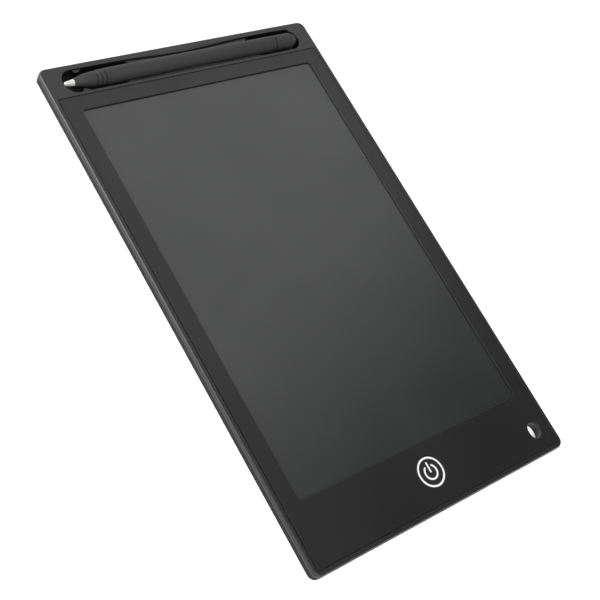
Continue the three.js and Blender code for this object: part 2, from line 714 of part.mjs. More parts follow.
// Film, its adhesive frame and its backing hang below the faceplate.
function makeScreen() {
  const filmHigh = -TAPE_THICKNESS;
  const filmLow = -FILM_DEPTH;
  const tapeOpening = plate(filmOutline(TAPE_SETBACK - FILM_MARGIN), filmHigh - OVERRUN, OVERRUN);
  addPiece(screen, 'film_tape', TAPE_GREY, plate(filmOutline(0), filmHigh, 0).subtract(tapeOpening));
  addPiece(screen, 'writing_film', SCREEN_GREY, plate(filmOutline(0), filmLow, filmHigh));

  // The backing has a notch where the flexible lead is bonded to the film.
  const tailHalf = TAIL_WIDTH / 2 + TAIL_ROOM;
  const backingLow = filmLow - BACKING_THICKNESS;
  const notch = block(TAIL_X - tailHalf, TAIL_X + tailHalf, FILM_BOTTOM - OVERRUN,
    FILM_BOTTOM + TAIL_LAP + TAIL_ROOM, backingLow - OVERRUN, 0);
  addPiece(screen, 'backing_sheet', SHEET_BLACK,
    plate(filmOutline(-BACKING_INSET), backingLow, filmLow).subtract(notch));

  const bond = filmLow - TAIL_THICKNESS / 2;
  const landing = BOARD_TOP_FACE + TAIL_THICKNESS / 2 - PLATE_SEAT;
  const line = [
    [FILM_BOTTOM + TAIL_LAP, bond],
    [FILM_BOTTOM, bond],
    [BOARD_TOP, landing],
    [BOARD_TOP - TAIL_LANDING, landing],
  ];
  addPiece(screen, 'flex_tail', FLEX_COPPER,
    alongX(ribbon(line, TAIL_THICKNESS), -TAIL_WIDTH / 2, TAIL_WIDTH / 2), TAIL_X);
}

// Radii of the white lines on the button.
const ringOuter = BUTTON_RADIUS - RING_MARGIN;
const ringInner = ringOuter - RING_LINE;
const arcRadius = ringInner - ARC_MARGIN - SYMBOL_LINE / 2;

function ringOutline(grow) {
  const shape = circle(0, 0, ringOuter + grow);
  shape.holes.push(circle(0, 0, ringInner - grow));
  return shape;
}

// Outline of the part circle, open at the top.
function arcOutline(grow) {
  const half = SYMBOL_LINE / 2 + grow;
  const start = Math.PI / 2 + ARC_OPENING;
  const end = Math.PI * 5 / 2 - ARC_OPENING;
  const tip = (angle) => [arcRadius * Math.cos(angle), arcRadius * Math.sin(angle)];
  const shape = new THREE.Shape();
  shape.absarc(0, 0, arcRadius + half, start, end);
  shape.absarc(...tip(end), half, end, end + Math.PI);
  shape.absarc(0, 0, arcRadius - half, end, start, true);
  shape.absarc(...tip(start), half, start + Math.PI, start + 2 * Math.PI);
  return shape;
}

// Outline of the upright bar, from near the centre towards the ring.
function barOutline(grow) {
  const low = BAR_START - SYMBOL_LINE / 2;
  const high = ringInner - BAR_MARGIN;
  return uprightOval(0, (low + high) / 2, SYMBOL_LINE, high - low, grow);
}

// Heights of the underside of the button's flange and of its stem.
const flangeTop = PLATE_SEAT - FLANGE_CLEARANCE;
const flangeLow = flangeTop - FLANGE_THICKNESS;
const stemLow = flangeLow - STEM_LENGTH;

function makeButton() {
  const top = BODY_THICKNESS - BUTTON_SINK;
  const flange = BUTTON_RADIUS + FLANGE_WIDTH;
  let cap = turned([
    [0, stemLow],
    [STEM_RADIUS, stemLow],
    [STEM_RADIUS, flangeLow],
    [flange, flangeLow],
    [flange, flangeTop],
    [BUTTON_RADIUS, flangeTop],
    [BUTTON_RADIUS, top - BUTTON_EDGE],
    [BUTTON_RADIUS - BUTTON_EDGE, top],
    [0, top],
  ], 2 * FINE_STEPS);
  const inlays = [
    ['button_ring', ringOutline, FINE_STEPS],
    ['button_symbol_arc', arcOutline, ROUND_STEPS],
    ['button_symbol_bar', barOutline, OVAL_STEPS],
  ];
  for (const [name, outline, steps] of inlays) {
    const bottom = top - INLAY_DEPTH;
    cap = cap.subtract(plate(outline(INLAY_GAP), bottom, top + OVERRUN, steps));
    addPiece(button, name, PRINT_WHITE, plate(outline(0), bottom, top + INLAY_PROUD, steps));
  }
  addPiece(button, 'erase_button', BUTTON_BLACK, cap);
}

// Outline of the battery door about the middle of the cell, grown all round.
function doorOutline(x, y, grow) {
  return roundedRectangle(x - DOOR_LEFT_REACH - grow, x + DOOR_RIGHT_REACH + grow,
    y - DOOR_HALF - grow, y + DOOR_HALF + grow, DOOR_RADIUS + Math.min(grow, 0));
}

// Cutter for the opening that the battery door and the cell go through, and for what hooks and screws it.
function batteryCutter() {
  const high = BODY_THICKNESS;
  let cutter = rod(CELL_X, CELL_Y, CUP_INNER, -OVERRUN, CUP_CEILING, FINE_STEPS)
    .add(plate(doorOutline(CELL_X, CELL_Y, 0), -OVERRUN, FLOOR_THICKNESS))
    .add(rod(CELL_X - DOOR_SCREW_REACH, CELL_Y, DOOR_SCREW_RADIUS + BOSS_CLEARANCE, -OVERRUN, high));
  const edge = CELL_X + DOOR_RIGHT_REACH;
  const left = edge - DOOR_GAP - TONGUE_ROOT - TONGUE_ROOM;
  const tongueHalf = TONGUE_WIDTH / 2 + TONGUE_ROOM;
  for (const side of [-1, 1]) {
    const low = CELL_Y + side * TONGUE_OFFSET - tongueHalf;
    cutter = cutter
      .add(block(left, edge + TONGUE_REACH + TONGUE_ROOM, low, low + 2 * tongueHalf, FLOOR_THICKNESS, high))
      .add(block(left, edge, low, low + 2 * tongueHalf, 0, high));
  }

  // Slots in the cup's wall for the two contacts.
  const slots = [
    [CELL_Y, CELL_LOW + CELL_STEP - CONTACT_ROOM],
    [CELL_Y + CONTACT_SPACING, UNDERSIDE - 2 * CONTACT_DROP],
  ];
  const half = CONTACT_WIDTH / 2 + CONTACT_ROOM;
  const right = CELL_X + CUP_OUTER + CUP_CLEARANCE;
  for (const [y, low] of slots) {
    cutter = cutter.add(block(CELL_X, right, y - half, y + half, low, CUP_CEILING));
  }
  return cutter;
}

function makeRearCover() {
  const high = BODY_THICKNESS;
  const join = FLOOR_THICKNESS - JOIN_DEPTH;
  let cover = softPlate(bodyOutline(), 0, 2 * BODY_THICKNESS,
    BOTTOM_EDGE_RADIUS, BOTTOM_EDGE_RADIUS, LOW_EDGE_STEPS)
    .subtract(slab(SPLIT_HEIGHT, 2 * BODY_THICKNESS + OVERRUN))
    .subtract(plate(innerOutline(), FLOOR_THICKNESS, high));

  // Lattice of ribs that carries the backing sheet.
  const half = RIB_WIDTH / 2;
  const ribRight = FILM_RIGHT - BACKING_INSET - RIB_WIDTH;
  const ribBottom = FILM_BOTTOM + FILM_MARGIN;
  const ribTop = FILM_TOP - FILM_MARGIN;
  for (const x of between(-ribRight, ribRight, SCREEN_RIB_COLUMNS)) {
    cover = cover.add(block(x - half, x + half, ribBottom, ribTop, join, BACKING_LOW));
  }
  for (const y of between(ribBottom, ribTop, SCREEN_RIB_ROWS)) {
    cover = cover.add(block(-ribRight, ribRight, y - half, y + half, join, BACKING_LOW));
  }

  // Raised land round the battery door, the cup over the cell and the boss for the door screw.
  const land = plate(doorOutline(CELL_X, CELL_Y, LAND_MARGIN), join, LAND_TOP)
    .intersect(block(-RIGHT, RIGHT, INNER_BOTTOM - SNAP_GAP, TOP, 0, high));
  const bossRadius = DOOR_SCREW_RADIUS + BOSS_CLEARANCE + BOSS_WALL;
  cover = cover
    .add(land)
    .add(rod(CELL_X, CELL_Y, CUP_OUTER, join, CUP_TOP, FINE_STEPS))
    .add(rod(CELL_X - DOOR_SCREW_REACH, CELL_Y, bossRadius, join, UNDERSIDE - BOSS_ROOF_GAP))
    .subtract(batteryCutter());

  // Standoffs and blind holes for the board screws.
  const holeRadius = BOARD_SCREW_RADIUS + BOARD_SCREW_CLEARANCE;
  const holeLow = BOARD_LOW - BOARD_SCREW_BITE - BOARD_SCREW_TIP_GAP;
  for (const [x, y] of boardScrewPlaces) {
    cover = cover
      .add(rod(BOARD_LEFT + x, BOARD_BOTTOM + y, holeRadius + STANDOFF_WALL, join, BOARD_LOW))
      .subtract(rod(BOARD_LEFT + x, BOARD_BOTTOM + y, holeRadius, holeLow, high));
  }

  // Scooped slot for the lock slider.
  const slotLong = (KNOB_LENGTH + LOCK_TRAVEL) / 2 + KNOB_GAP;
  const slotHalf = KNOB_WIDTH / 2 + KNOB_GAP;
  cover = cover
    .subtract(plate(
      roundedRectangle(LOCK_X - slotLong - SCOOP_SIDE, LOCK_X + slotLong + SCOOP_SIDE,
        LOCK_Y - slotHalf - SCOOP_END, LOCK_Y + slotHalf + SCOOP_END, slotHalf),
      -OVERRUN, SCOOP_DEPTH,
    ))
    .subtract(plate(
      roundedRectangle(LOCK_X - slotLong, LOCK_X + slotLong, LOCK_Y - slotHalf, LOCK_Y + slotHalf, KNOB_GAP),
      -OVERRUN, high,
    ));

  // Lanyard hole with its tube and a soft back rim, and the recesses for the snap fingers.
  cover = cover
    .add(plate(holeOutline(HOLE_WALL), join, SPLIT_HEIGHT, OVAL_STEPS))
    .subtract(plate(holeOutline(), -OVERRUN, high, OVAL_STEPS))
    .subtract(flare(holeOutline(), 0, HOLE_BACK_BEVEL, -1));
  for (const y of snapRows) {
    cover = cover.subtract(snapRecess(-1, y)).subtract(snapRecess(1, y));
  }
  return cover.subtract(slotCutter());
}

function makeCell() {
  // The smaller, negative face is towards the screen.
  const high = CELL_LOW + CELL_THICKNESS;
  const stepRadius = CELL_RADIUS - CELL_STEP_INSET;
  addPiece(battery, 'coin_cell', CELL_STEEL, turned([
    [0, 0],
    [CELL_RADIUS - CELL_EDGE, 0],
    [CELL_RADIUS, CELL_EDGE],
    [CELL_RADIUS, CELL_THICKNESS - CELL_STEP],
    [stepRadius, CELL_THICKNESS - CELL_STEP],
    [stepRadius, CELL_THICKNESS],
    [0, CELL_THICKNESS],
  ], 2 * FINE_STEPS), 0, 0, CELL_LOW);

  // The negative contact bows down to the cell, leaves the cup under its ceiling and lands on the board.
  const half = CONTACT_WIDTH / 2;
  const boardEdge = BOARD_LEFT - CELL_X;
  const landing = BOARD_TOP_FACE + CONTACT_THICKNESS / 2;
  const ceiling = CUP_CEILING - CONTACT_THICKNESS / 2;
  const exit = UNDERSIDE - CONTACT_DROP;
  const negative = [
    [-CONTACT_TAIL, ceiling],
    [-CONTACT_BOW, high + CONTACT_THICKNESS / 2 + CONTACT_GAP],
    [CONTACT_BOW, ceiling],
    [stepRadius - CONTACT_THICKNESS, ceiling],
    [CUP_INNER, exit],
    [CUP_OUTER + CUP_CLEARANCE, exit],
    [boardEdge, landing],
    [boardEdge + CONTACT_LANDING, landing],
  ];
  addPiece(battery, 'battery_contact_negative', SPRING_STEEL,
    alongY(ribbon(negative, CONTACT_THICKNESS), -half, half), 0, CONTACT_SPACING);

  // The positive contact presses on the can from the side and lands on the board.
  const side = CELL_RADIUS + CONTACT_GAP + CONTACT_THICKNESS / 2;
  const positive = [
    [side, CELL_LOW + CELL_STEP],
    [side, landing],
    [boardEdge + CONTACT_LANDING, landing],
  ];
  addPiece(battery, 'battery_contact_positive', SPRING_STEEL,
    alongY(ribbon(positive, CONTACT_THICKNESS), -half, half));
}

function crossRecess(headRadius, low, high) {
  const long = headRadius * CROSS_SHARE;
  const short = CROSS_WIDTH / 2;
  return block(-long, long, -short, short, low, high).add(block(-short, short, -long, long, low, high));
}

function makeBatteryDoor() {
  const right = DOOR_RIGHT_REACH - DOOR_GAP;
  const ringRadius = CELL_RADIUS - DOOR_RING_INSET;
  let door = plate(doorOutline(0, 0, -DOOR_GAP), 0, DOOR_THICKNESS);

  // The outer edge at the tongue end is chamfered, so that the door can tilt out.
  const chamfer = new THREE.Shape();
  chamfer.moveTo(right - DOOR_CHAMFER - OVERRUN, -OVERRUN);
  chamfer.lineTo(right + OVERRUN, -OVERRUN);
  chamfer.lineTo(right + OVERRUN, DOOR_CHAMFER + OVERRUN);
  door = door.subtract(alongY(chamfer, -DOOR_HALF, DOOR_HALF));

  // Ring that steadies the cell.
  door = door
    .add(rod(0, 0, ringRadius, DOOR_THICKNESS - JOIN_DEPTH, CELL_LOW - CONTACT_GAP, FINE_STEPS))
    .subtract(rod(0, 0, ringRadius - DOOR_RING_WIDTH, DOOR_THICKNESS, BODY_THICKNESS, FINE_STEPS));

  // Tongues that hook over the floor of the rear cover.
  const tongueLow = FLOOR_THICKNESS + TONGUE_CLEARANCE;
  const tongue = new THREE.Shape();
  tongue.moveTo(right - TONGUE_ROOT, DOOR_THICKNESS - JOIN_DEPTH);
  tongue.lineTo(right, DOOR_THICKNESS - JOIN_DEPTH);
  tongue.lineTo(right, tongueLow);
  tongue.lineTo(DOOR_RIGHT_REACH + TONGUE_REACH, tongueLow);
  tongue.lineTo(DOOR_RIGHT_REACH + TONGUE_REACH, tongueLow + TONGUE_THICKNESS);
  tongue.lineTo(right - TONGUE_ROOT, tongueLow + TONGUE_THICKNESS);
  for (const side of [-1, 1]) {
    const y = side * TONGUE_OFFSET;
    door = door.add(alongY(tongue, y - TONGUE_WIDTH / 2, y + TONGUE_WIDTH / 2));
  }

  // Counterbored hole for the screw.
  const seat = DOOR_SCREW_SINK + DOOR_SCREW_HEAD;
  door = door
    .subtract(rod(-DOOR_SCREW_REACH, 0, DOOR_SCREW_RADIUS + DOOR_SCREW_CLEARANCE, -OVERRUN, BODY_THICKNESS))
    .subtract(rod(-DOOR_SCREW_REACH, 0, DOOR_SCREW_HEAD_RADIUS + DOOR_SCREW_CLEARANCE, -OVERRUN, seat));
  addPiece(battery, 'battery_door', COVER_BLACK, door);

  // Screw with its head down; the shank runs up into the boss.
  const tip = DOOR_SCREW_HEAD + DOOR_SCREW_LENGTH;
  const screw = turned([
    [0, 0],
    [DOOR_SCREW_HEAD_RADIUS, 0],
    [DOOR_SCREW_HEAD_RADIUS, DOOR_SCREW_HEAD],
    [DOOR_SCREW_RADIUS, DOOR_SCREW_HEAD],
    [DOOR_SCREW_RADIUS, tip - DOOR_SCREW_RADIUS],
    [0, tip],
  ], 2 * ROUND_STEPS).subtract(crossRecess(DOOR_SCREW_HEAD_RADIUS, -OVERRUN, CROSS_DEPTH));
  addPiece(battery, 'battery_door_screw', SCREW_STEEL, screw, -DOOR_SCREW_REACH, 0, DOOR_SCREW_SINK);
}

// The board screws sit along the top edge of the board, near its ends.
const boardScrewPlaces = [
  [BOARD_SCREW_FIRST_INSET, BOARD_WIDTH - BOARD_SCREW_INSET],
  [BOARD_LENGTH - BOARD_SCREW_INSET, BOARD_WIDTH - BOARD_SCREW_INSET],
];

// Adds a part to the board, at shares of the board's length and width.
function addComponent(name, look, [length, width, height], [xShare, yShare]) {
  const outline = roundedRectangle(-length / 2, length / 2, -width / 2, width / 2, COMPONENT_CORNER);
  addPiece(board, name, look, plate(outline, 0, height, COARSE_STEPS), BOARD_LENGTH * xShare,
    BOARD_WIDTH * yShare);
}

function makeBoard() {
  let sheet = plate(roundedRectangle(0, BOARD_LENGTH, 0, BOARD_WIDTH, BOARD_CORNER), -BOARD_THICKNESS, 0,
    COARSE_STEPS);
  const hole = BOARD_SCREW_RADIUS + BOARD_SCREW_CLEARANCE;
  const tip = -BOARD_THICKNESS - BOARD_SCREW_BITE;
  const head = BOARD_SCREW_HEAD;
  const screw = turned([
    [0, tip],
    [BOARD_SCREW_RADIUS, tip + BOARD_SCREW_RADIUS / 2],
    [BOARD_SCREW_RADIUS, 0],
    [BOARD_SCREW_HEAD_RADIUS, 0],
    [BOARD_SCREW_HEAD_RADIUS, head],
    [0, head],
  ], 2 * ROUND_STEPS).subtract(crossRecess(BOARD_SCREW_HEAD_RADIUS, head - CROSS_DEPTH, head + OVERRUN));
  boardScrewPlaces.forEach(([x, y], i) => {
    sheet = sheet.subtract(rod(x, y, hole, -BOARD_THICKNESS - OVERRUN, OVERRUN));
    addPiece(board, 'board_screw_' + (i + 1), SCREW_STEEL, screw, x, y);
  });
  addPiece(board, 'circuit_board', BOARD_GREEN, sheet);
  addComponent('driver_chip', CHIP_BLACK, CHIP_SIZE, CHIP_SHARES);
  addComponent('boost_inductor', CHIP_BLACK, INDUCTOR_SIZE, INDUCTOR_SHARES);
  CAPACITOR_SHARES.forEach((shares, i) => {
    addComponent('capacitor_' + (i + 1), CERAMIC_TAN, CAPACITOR_SIZE, shares);
  });
  addComponent('resistor_1', CHIP_BLACK, RESISTOR_SIZE, RESISTOR_SHARES);
}

// Switch under the button: its body fills the height that the plunger leaves above the board.
function makeTactSwitch() {
  const half = TACT_SIZE / 2;
  const plungerTop = stemLow - PLUNGER_GAP;
  const bodyTop = plungerTop - PLUNGER_PROUD;
  const boreLow = BOARD_TOP_FACE + PLUNGER_ROOM;
  const bore = rod(0, 0, PLUNGER_RADIUS + PLUNGER_ROOM, boreLow, bodyTop + OVERRUN);
  const body = plate(roundedRectangle(-half, half, -half, half, TACT_CORNER), BOARD_TOP_FACE, bodyTop,
    COARSE_STEPS);
  addPiece(button, 'tact_switch_body', SPRING_STEEL, body.subtract(bore));
  addPiece(button, 'tact_switch_plunger', BUTTON_BLACK,
    rod(0, 0, PLUNGER_RADIUS, boreLow + BUTTON_TRAVEL, plungerTop));
}

// Middle line of the lock slider's knob, and half the width of its flange.
const LOCK_Y = BOARD_BOTTOM - KNOB_DROP;
const sliderSide = KNOB_WIDTH / 2 + KNOB_GAP + SLIDER_OVERLAP;

// Lock switch on the board, open towards the bottom edge, where its actuator comes out.
// Its group lies at the actuator's place, at one end of the travel.
function makeLockSwitch() {
  const half = LOCK_BODY_LENGTH / 2;
  const middle = LOCK_TRAVEL / 2;
  const top = BOARD_TOP_FACE + LOCK_BODY_HEIGHT;
  const back = LOCK_BODY_WIDTH - LOCK_BODY_WALL;
  const actuatorLow = BOARD_TOP_FACE + (LOCK_BODY_HEIGHT - ACTUATOR_THICKNESS) / 2;
  const actuatorHigh = actuatorLow + ACTUATOR_THICKNESS;
  const cavity = block(middle - half + LOCK_BODY_WALL, middle + half - LOCK_BODY_WALL, -OVERRUN, back,
    actuatorLow - ACTUATOR_ROOM, actuatorHigh + ACTUATOR_ROOM);
  addPiece(lock, 'lock_switch_body', SPRING_STEEL,
    block(middle - half, middle + half, 0, LOCK_BODY_WIDTH, BOARD_TOP_FACE, top).subtract(cavity));
  addPiece(lock, 'lock_switch_actuator', BUTTON_BLACK,
    block(-ACTUATOR_WIDTH / 2, ACTUATOR_WIDTH / 2, -ACTUATOR_REACH, back - ACTUATOR_ROOM,
      actuatorLow, actuatorHigh));

  // Slider: a grooved knob, a flange on the floor of the cover and two prongs beside the actuator.
  const knobLong = KNOB_LENGTH / 2;
  const knobSide = KNOB_WIDTH / 2;
  const flangeLong = knobLong + LOCK_TRAVEL + KNOB_GAP + SLIDER_OVERLAP;
  const low = FLOOR_THICKNESS + SLIDER_CLEARANCE;
  const high = low + SLIDER_THICKNESS;
  const knob = roundedRectangle(-knobLong, knobLong, -KNOB_DROP - knobSide, knobSide - KNOB_DROP, KNOB_GAP);
  let slider = plate(knob, KNOB_SINK, high)
    .add(block(-flangeLong, flangeLong, -KNOB_DROP - sliderSide,
      Math.min(sliderSide - KNOB_DROP, -SLIDER_CLEARANCE), low, high));
  for (const x of between(-knobLong, knobLong, KNOB_GROOVES)) {
    slider = slider.subtract(block(x - KNOB_GROOVE_WIDTH / 2, x + KNOB_GROOVE_WIDTH / 2,
      -KNOB_DROP - KNOB_WIDTH, 0, 0, KNOB_SINK + KNOB_GROOVE_DEPTH));
  }
  const near = ACTUATOR_WIDTH / 2 + ACTUATOR_ROOM;
  for (const left of [near, -near - PRONG_WIDTH]) {
    slider = slider.add(block(left, left + PRONG_WIDTH, -ACTUATOR_REACH, PRONG_LENGTH - ACTUATOR_REACH,
      low, actuatorHigh + ACTUATOR_ROOM));
  }
  addPiece(lock, 'lock_slider', BUTTON_BLACK, slider);
}

// Body turned about the stylus axis, from a profile of radius and place along it.
function turnedPen(profile) {
  const points = profile.map(([radius, along]) => new THREE.Vector2(radius, along));
  return toSolid(new THREE.LatheGeometry(points, PEN_SIDES));
}

// Groove round the stylus: three points of a profile.
function penGroove(radius, along, width = GROOVE_WIDTH, depth = GROOVE_DEPTH) {
  const half = width / 2;
  return [
    [radius, along - half],
    [radius - depth, along],
    [radius, along + half],
  ];
}

// Radius of a profile at a place between two of its points.
function radiusAt(profile, place) {
  const i = profile.findIndex(([, along]) => along >= place);
  const [[radiusBefore, before], [radiusAfter, after]] = [profile[i - 1], profile[i]];
  return radiusBefore + (radiusAfter - radiusBefore) * (place - before) / (after - before);
}

function makeStylus() {
  const mouth = NIB_LENGTH - PEN_END;
  const noseEnd = mouth + NOSE_LENGTH;
  const shankEnd = mouth + NIB_SHANK_LENGTH;
  const bore = PEN_RADIUS - PEN_WALL;
  const spigot = bore - SPIGOT_CLEARANCE;

  // Nib with a round point and a shank inside the nose cone.
  const pointBack = NIB_POINT_RADIUS * (1 - Math.SQRT1_2);
  addPiece(stylus, 'stylus_tip', NIB_GREY, turnedPen([
    [0, -PEN_END],
    [NIB_POINT_RADIUS * Math.SQRT1_2, pointBack - PEN_END],
    [NIB_POINT_RADIUS, NIB_POINT_RADIUS - PEN_END],
    [NIB_RADIUS, mouth - PEN_JOINT_GAP],
    [NIB_SHANK_RADIUS, mouth - PEN_JOINT_GAP],
    [NIB_SHANK_RADIUS, shankEnd],
    [0, shankEnd],
  ]));

  // Nose cone: a grooved taper, bored for the nib, with a spigot for the barrel.
  const mouthRadius = NIB_RADIUS + NOSE_MOUTH_WALL;
  const taper = NOSE_PROFILE_SHARES.map(([along, gain]) => {
    return [mouthRadius + (PEN_RADIUS - mouthRadius) * gain, mouth + NOSE_LENGTH * along];
  });
  const grooves = NOSE_GROOVE_SHARES.flatMap((share) => {
    const along = mouth + NOSE_LENGTH * share;
    return penGroove(radiusAt(taper, along), along);
  });
  const outside = [...taper, ...grooves].sort((a, b) => a[1] - b[1]);
  const nibBore = NIB_SHANK_RADIUS + SPIGOT_CLEARANCE;
  addPiece(stylus, 'stylus_nose_cone', PEN_BLACK, turnedPen([
    [nibBore, mouth],
    ...outside,
    [PEN_RADIUS, noseEnd],
    [spigot, noseEnd],
    [spigot, noseEnd + SPIGOT_LENGTH],
    [0, noseEnd + SPIGOT_LENGTH],
    [0, shankEnd + PEN_JOINT_GAP],
    [nibBore, shankEnd + PEN_JOINT_GAP],
    [nibBore, mouth],
  ]));

  const capStart = PEN_END - CAP_LENGTH;
  addPiece(stylus, 'stylus_barrel', PEN_BLACK, turnedPen([
    [bore, noseEnd + PEN_JOINT_GAP],
    [PEN_RADIUS, noseEnd + PEN_JOINT_GAP],
    [PEN_RADIUS, capStart - PEN_JOINT_GAP],
    [bore, capStart - PEN_JOINT_GAP],
    [bore, noseEnd + PEN_JOINT_GAP],
  ]));

  // End cap: a spigot, two ring grooves, a run of fine grooves and a tapered end.
  const taperStart = PEN_END - CAP_TAPER_LENGTH;
  const ringGrooves = Array.from({ length: CAP_GROOVES }, (unused, i) => capStart + CAP_GROOVE_STEP * (i + 1));
  const capGrooves = ringGrooves.map((along) => penGroove(PEN_RADIUS, along));
  const fineStart = ringGrooves.at(-1) + CAP_FINE_MARGIN;
  for (const along of between(fineStart, taperStart, CAP_FINE_GROOVES)) {
    capGrooves.push(penGroove(PEN_RADIUS, along, FINE_GROOVE_WIDTH, FINE_GROOVE_DEPTH));
  }
  addPiece(stylus, 'stylus_end_cap', PEN_BLACK, turnedPen([
    [0, capStart - SPIGOT_LENGTH],
    [spigot, capStart - SPIGOT_LENGTH],
    [spigot, capStart],
    [PEN_RADIUS, capStart],
    ...capGrooves.flat(),
    [PEN_RADIUS, taperStart],
    [CAP_END_RADIUS, PEN_END - CAP_END_LENGTH],
    [0, PEN_END],
  ]));
}

addPiece(shell, 'front_frame', FRAME_BLACK, makeFrontFrame());
addPiece(shell, 'faceplate', PLATE_BLACK, makeFaceplate(), 0, 0, PLATE_SEAT);
addPiece(shell, 'rear_cover', COVER_BLACK, makeRearCover());
makeScreen();
makeButton();
makeTactSwitch();
makeCell();
makeBatteryDoor();
makeBoard();
makeLockSwitch();
makeStylus();

export default tablet;
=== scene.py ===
# %% [markdown]
# # A writing tablet with a liquid crystal screen
#
# The real object is a slim black slate, 225 mm tall and under 5 mm thick. A front frame and a rear cover snap
# together. A faceplate lies in the frame and looks onto a dark film that is written on by pressure. A round
# button erases it, and a stylus rests in a slot along the top edge.
#
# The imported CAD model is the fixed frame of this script. Its solids are faceted, so each part that the eye
# meets gets a smooth stand-in, built to the same sizes, and every part gets a material made of nodes.

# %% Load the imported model
import json
import math

import bmesh
import bpy
from mathutils import Matrix, Quaternion, Vector


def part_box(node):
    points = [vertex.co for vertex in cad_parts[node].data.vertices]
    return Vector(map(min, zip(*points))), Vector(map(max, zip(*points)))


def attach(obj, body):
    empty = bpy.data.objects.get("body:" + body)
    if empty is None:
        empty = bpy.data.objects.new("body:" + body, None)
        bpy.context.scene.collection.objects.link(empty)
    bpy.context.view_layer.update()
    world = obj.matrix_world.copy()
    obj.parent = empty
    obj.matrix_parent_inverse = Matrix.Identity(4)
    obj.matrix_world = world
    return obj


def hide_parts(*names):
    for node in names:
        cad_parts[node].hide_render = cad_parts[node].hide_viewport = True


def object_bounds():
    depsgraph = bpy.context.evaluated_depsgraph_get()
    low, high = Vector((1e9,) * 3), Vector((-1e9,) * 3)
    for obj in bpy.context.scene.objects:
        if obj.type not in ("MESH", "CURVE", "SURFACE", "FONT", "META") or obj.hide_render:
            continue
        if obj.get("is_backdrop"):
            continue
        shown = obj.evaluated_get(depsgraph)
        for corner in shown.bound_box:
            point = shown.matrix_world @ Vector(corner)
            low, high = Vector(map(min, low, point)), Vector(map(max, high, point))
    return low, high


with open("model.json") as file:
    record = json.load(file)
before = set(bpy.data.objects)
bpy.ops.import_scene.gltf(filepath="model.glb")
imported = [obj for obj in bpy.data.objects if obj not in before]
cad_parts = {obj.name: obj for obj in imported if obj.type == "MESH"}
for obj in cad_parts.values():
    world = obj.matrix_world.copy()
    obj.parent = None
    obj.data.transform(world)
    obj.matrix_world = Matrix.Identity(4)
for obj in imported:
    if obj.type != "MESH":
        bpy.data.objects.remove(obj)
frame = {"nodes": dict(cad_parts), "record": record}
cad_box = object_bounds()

MM = 0.001  # the tablet's sizes are in millimetres, and the studio's and Blender's own are in metres
scene = bpy.context.scene
scene.view_settings.view_transform = "Standard"


def add_object(name, data):
    """New object in the scene."""
    made = bpy.data.objects.new(name, data)
    scene.collection.objects.link(made)
    return made


def box_of(node):
    """Lowest and highest corner of a CAD node, in millimetres."""
    return [tuple(c / MM for c in corner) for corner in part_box(node)]


print("CAD box, mm:", [[round(c / MM, 2) for c in corner] for corner in cad_box])

# %% [markdown]
# ## Camera
#
# The photograph looks down on the tablet from its lower left. The place, the three axes and the focal length
# below come from lines that can be traced on the object: its four edges, the window and the slot. A camera
# could also be aimed with a Track To constraint, but an exact matrix keeps the whole view in three vectors.

# %% The photograph's camera
CAMERA_PLACE = (-0.29817, -0.12766, 0.37758)
CAMERA_RIGHT = (0.75886, -0.48844, 0.43075)
CAMERA_UP = (0.27559, 0.84013, 0.46714)
CAMERA_BACK = (-0.59006, -0.23579, 0.77216)
FOCAL_PIXELS = 1216.26
PHOTO_PIXELS = 600
SENSOR = 36

camera_data = bpy.data.cameras.new("photo_camera")
camera_data.sensor_width = SENSOR
camera_data.lens = SENSOR * FOCAL_PIXELS / PHOTO_PIXELS
camera = add_object("photo_camera", camera_data)
axes = Matrix((CAMERA_RIGHT, CAMERA_UP, CAMERA_BACK)).transposed().to_4x4()
camera.matrix_world = Matrix.Translation(CAMERA_PLACE) @ axes
scene.camera = camera
print("lens, mm:", round(camera_data.lens, 2))

# %% [markdown]
# ## Node helpers
#
# Shader trees and Geometry Nodes trees are built in the same way: a node is added, its settings are set, and
# each input gets either a fixed value or a link. One helper does this for every tree. Three short forms of it
# serve the nodes that come up most: Math, Map Range and Noise Texture.

# %% Helpers that add a node to any tree


def add_node(tree, kind, values=None, **settings):
    """Adds a node. values maps an input's name or number to a value, or to the output that feeds it."""
    made = tree.nodes.new(kind)
    for name, value in settings.items():
        setattr(made, name, value)
    for key, value in (values or {}).items():
        if isinstance(value, bpy.types.NodeSocket):
            tree.links.new(value, made.inputs[key])
        else:
            made.inputs[key].default_value = value
    return made


def calc(tree, operation, *values, **settings):
    """Output of a Math node."""
    values = dict(enumerate(values))
    return add_node(tree, "ShaderNodeMath", values, operation=operation, **settings).outputs[0]


def spread(tree, value, low, high, to_low=0.0, to_high=1.0):
    """Output of a Map Range node that takes the range from low to high onto another range."""
    values = dict(enumerate((value, low, high, to_low, to_high)))
    return add_node(tree, "ShaderNodeMapRange", values).outputs[0]


def noise(tree, place, scale, detail, **more):
    """Output of a Noise Texture node."""
    values = {"Vector": place, "Scale": scale, "Detail": detail, **more}
    return add_node(tree, "ShaderNodeTexNoise", values).outputs[0]


def new_group(name, kind, inputs, outputs):
    """Node group with typed sockets: inputs and outputs map a name to a socket type and a default value."""
    group = bpy.data.node_groups.new(name, kind)
    for direction, sockets in (("INPUT", inputs), ("OUTPUT", outputs)):
        for socket_name, (socket_type, default) in sockets.items():
            socket = group.interface.new_socket(socket_name, in_out=direction, socket_type=socket_type)
            if default is not None:
                socket.default_value = default
    return group, group.nodes.new("NodeGroupInput").outputs, group.nodes.new("NodeGroupOutput").inputs


FLOAT, COLOUR, VECTOR = "NodeSocketFloat", "NodeSocketColor", "NodeSocketVector"
print("helpers ready")

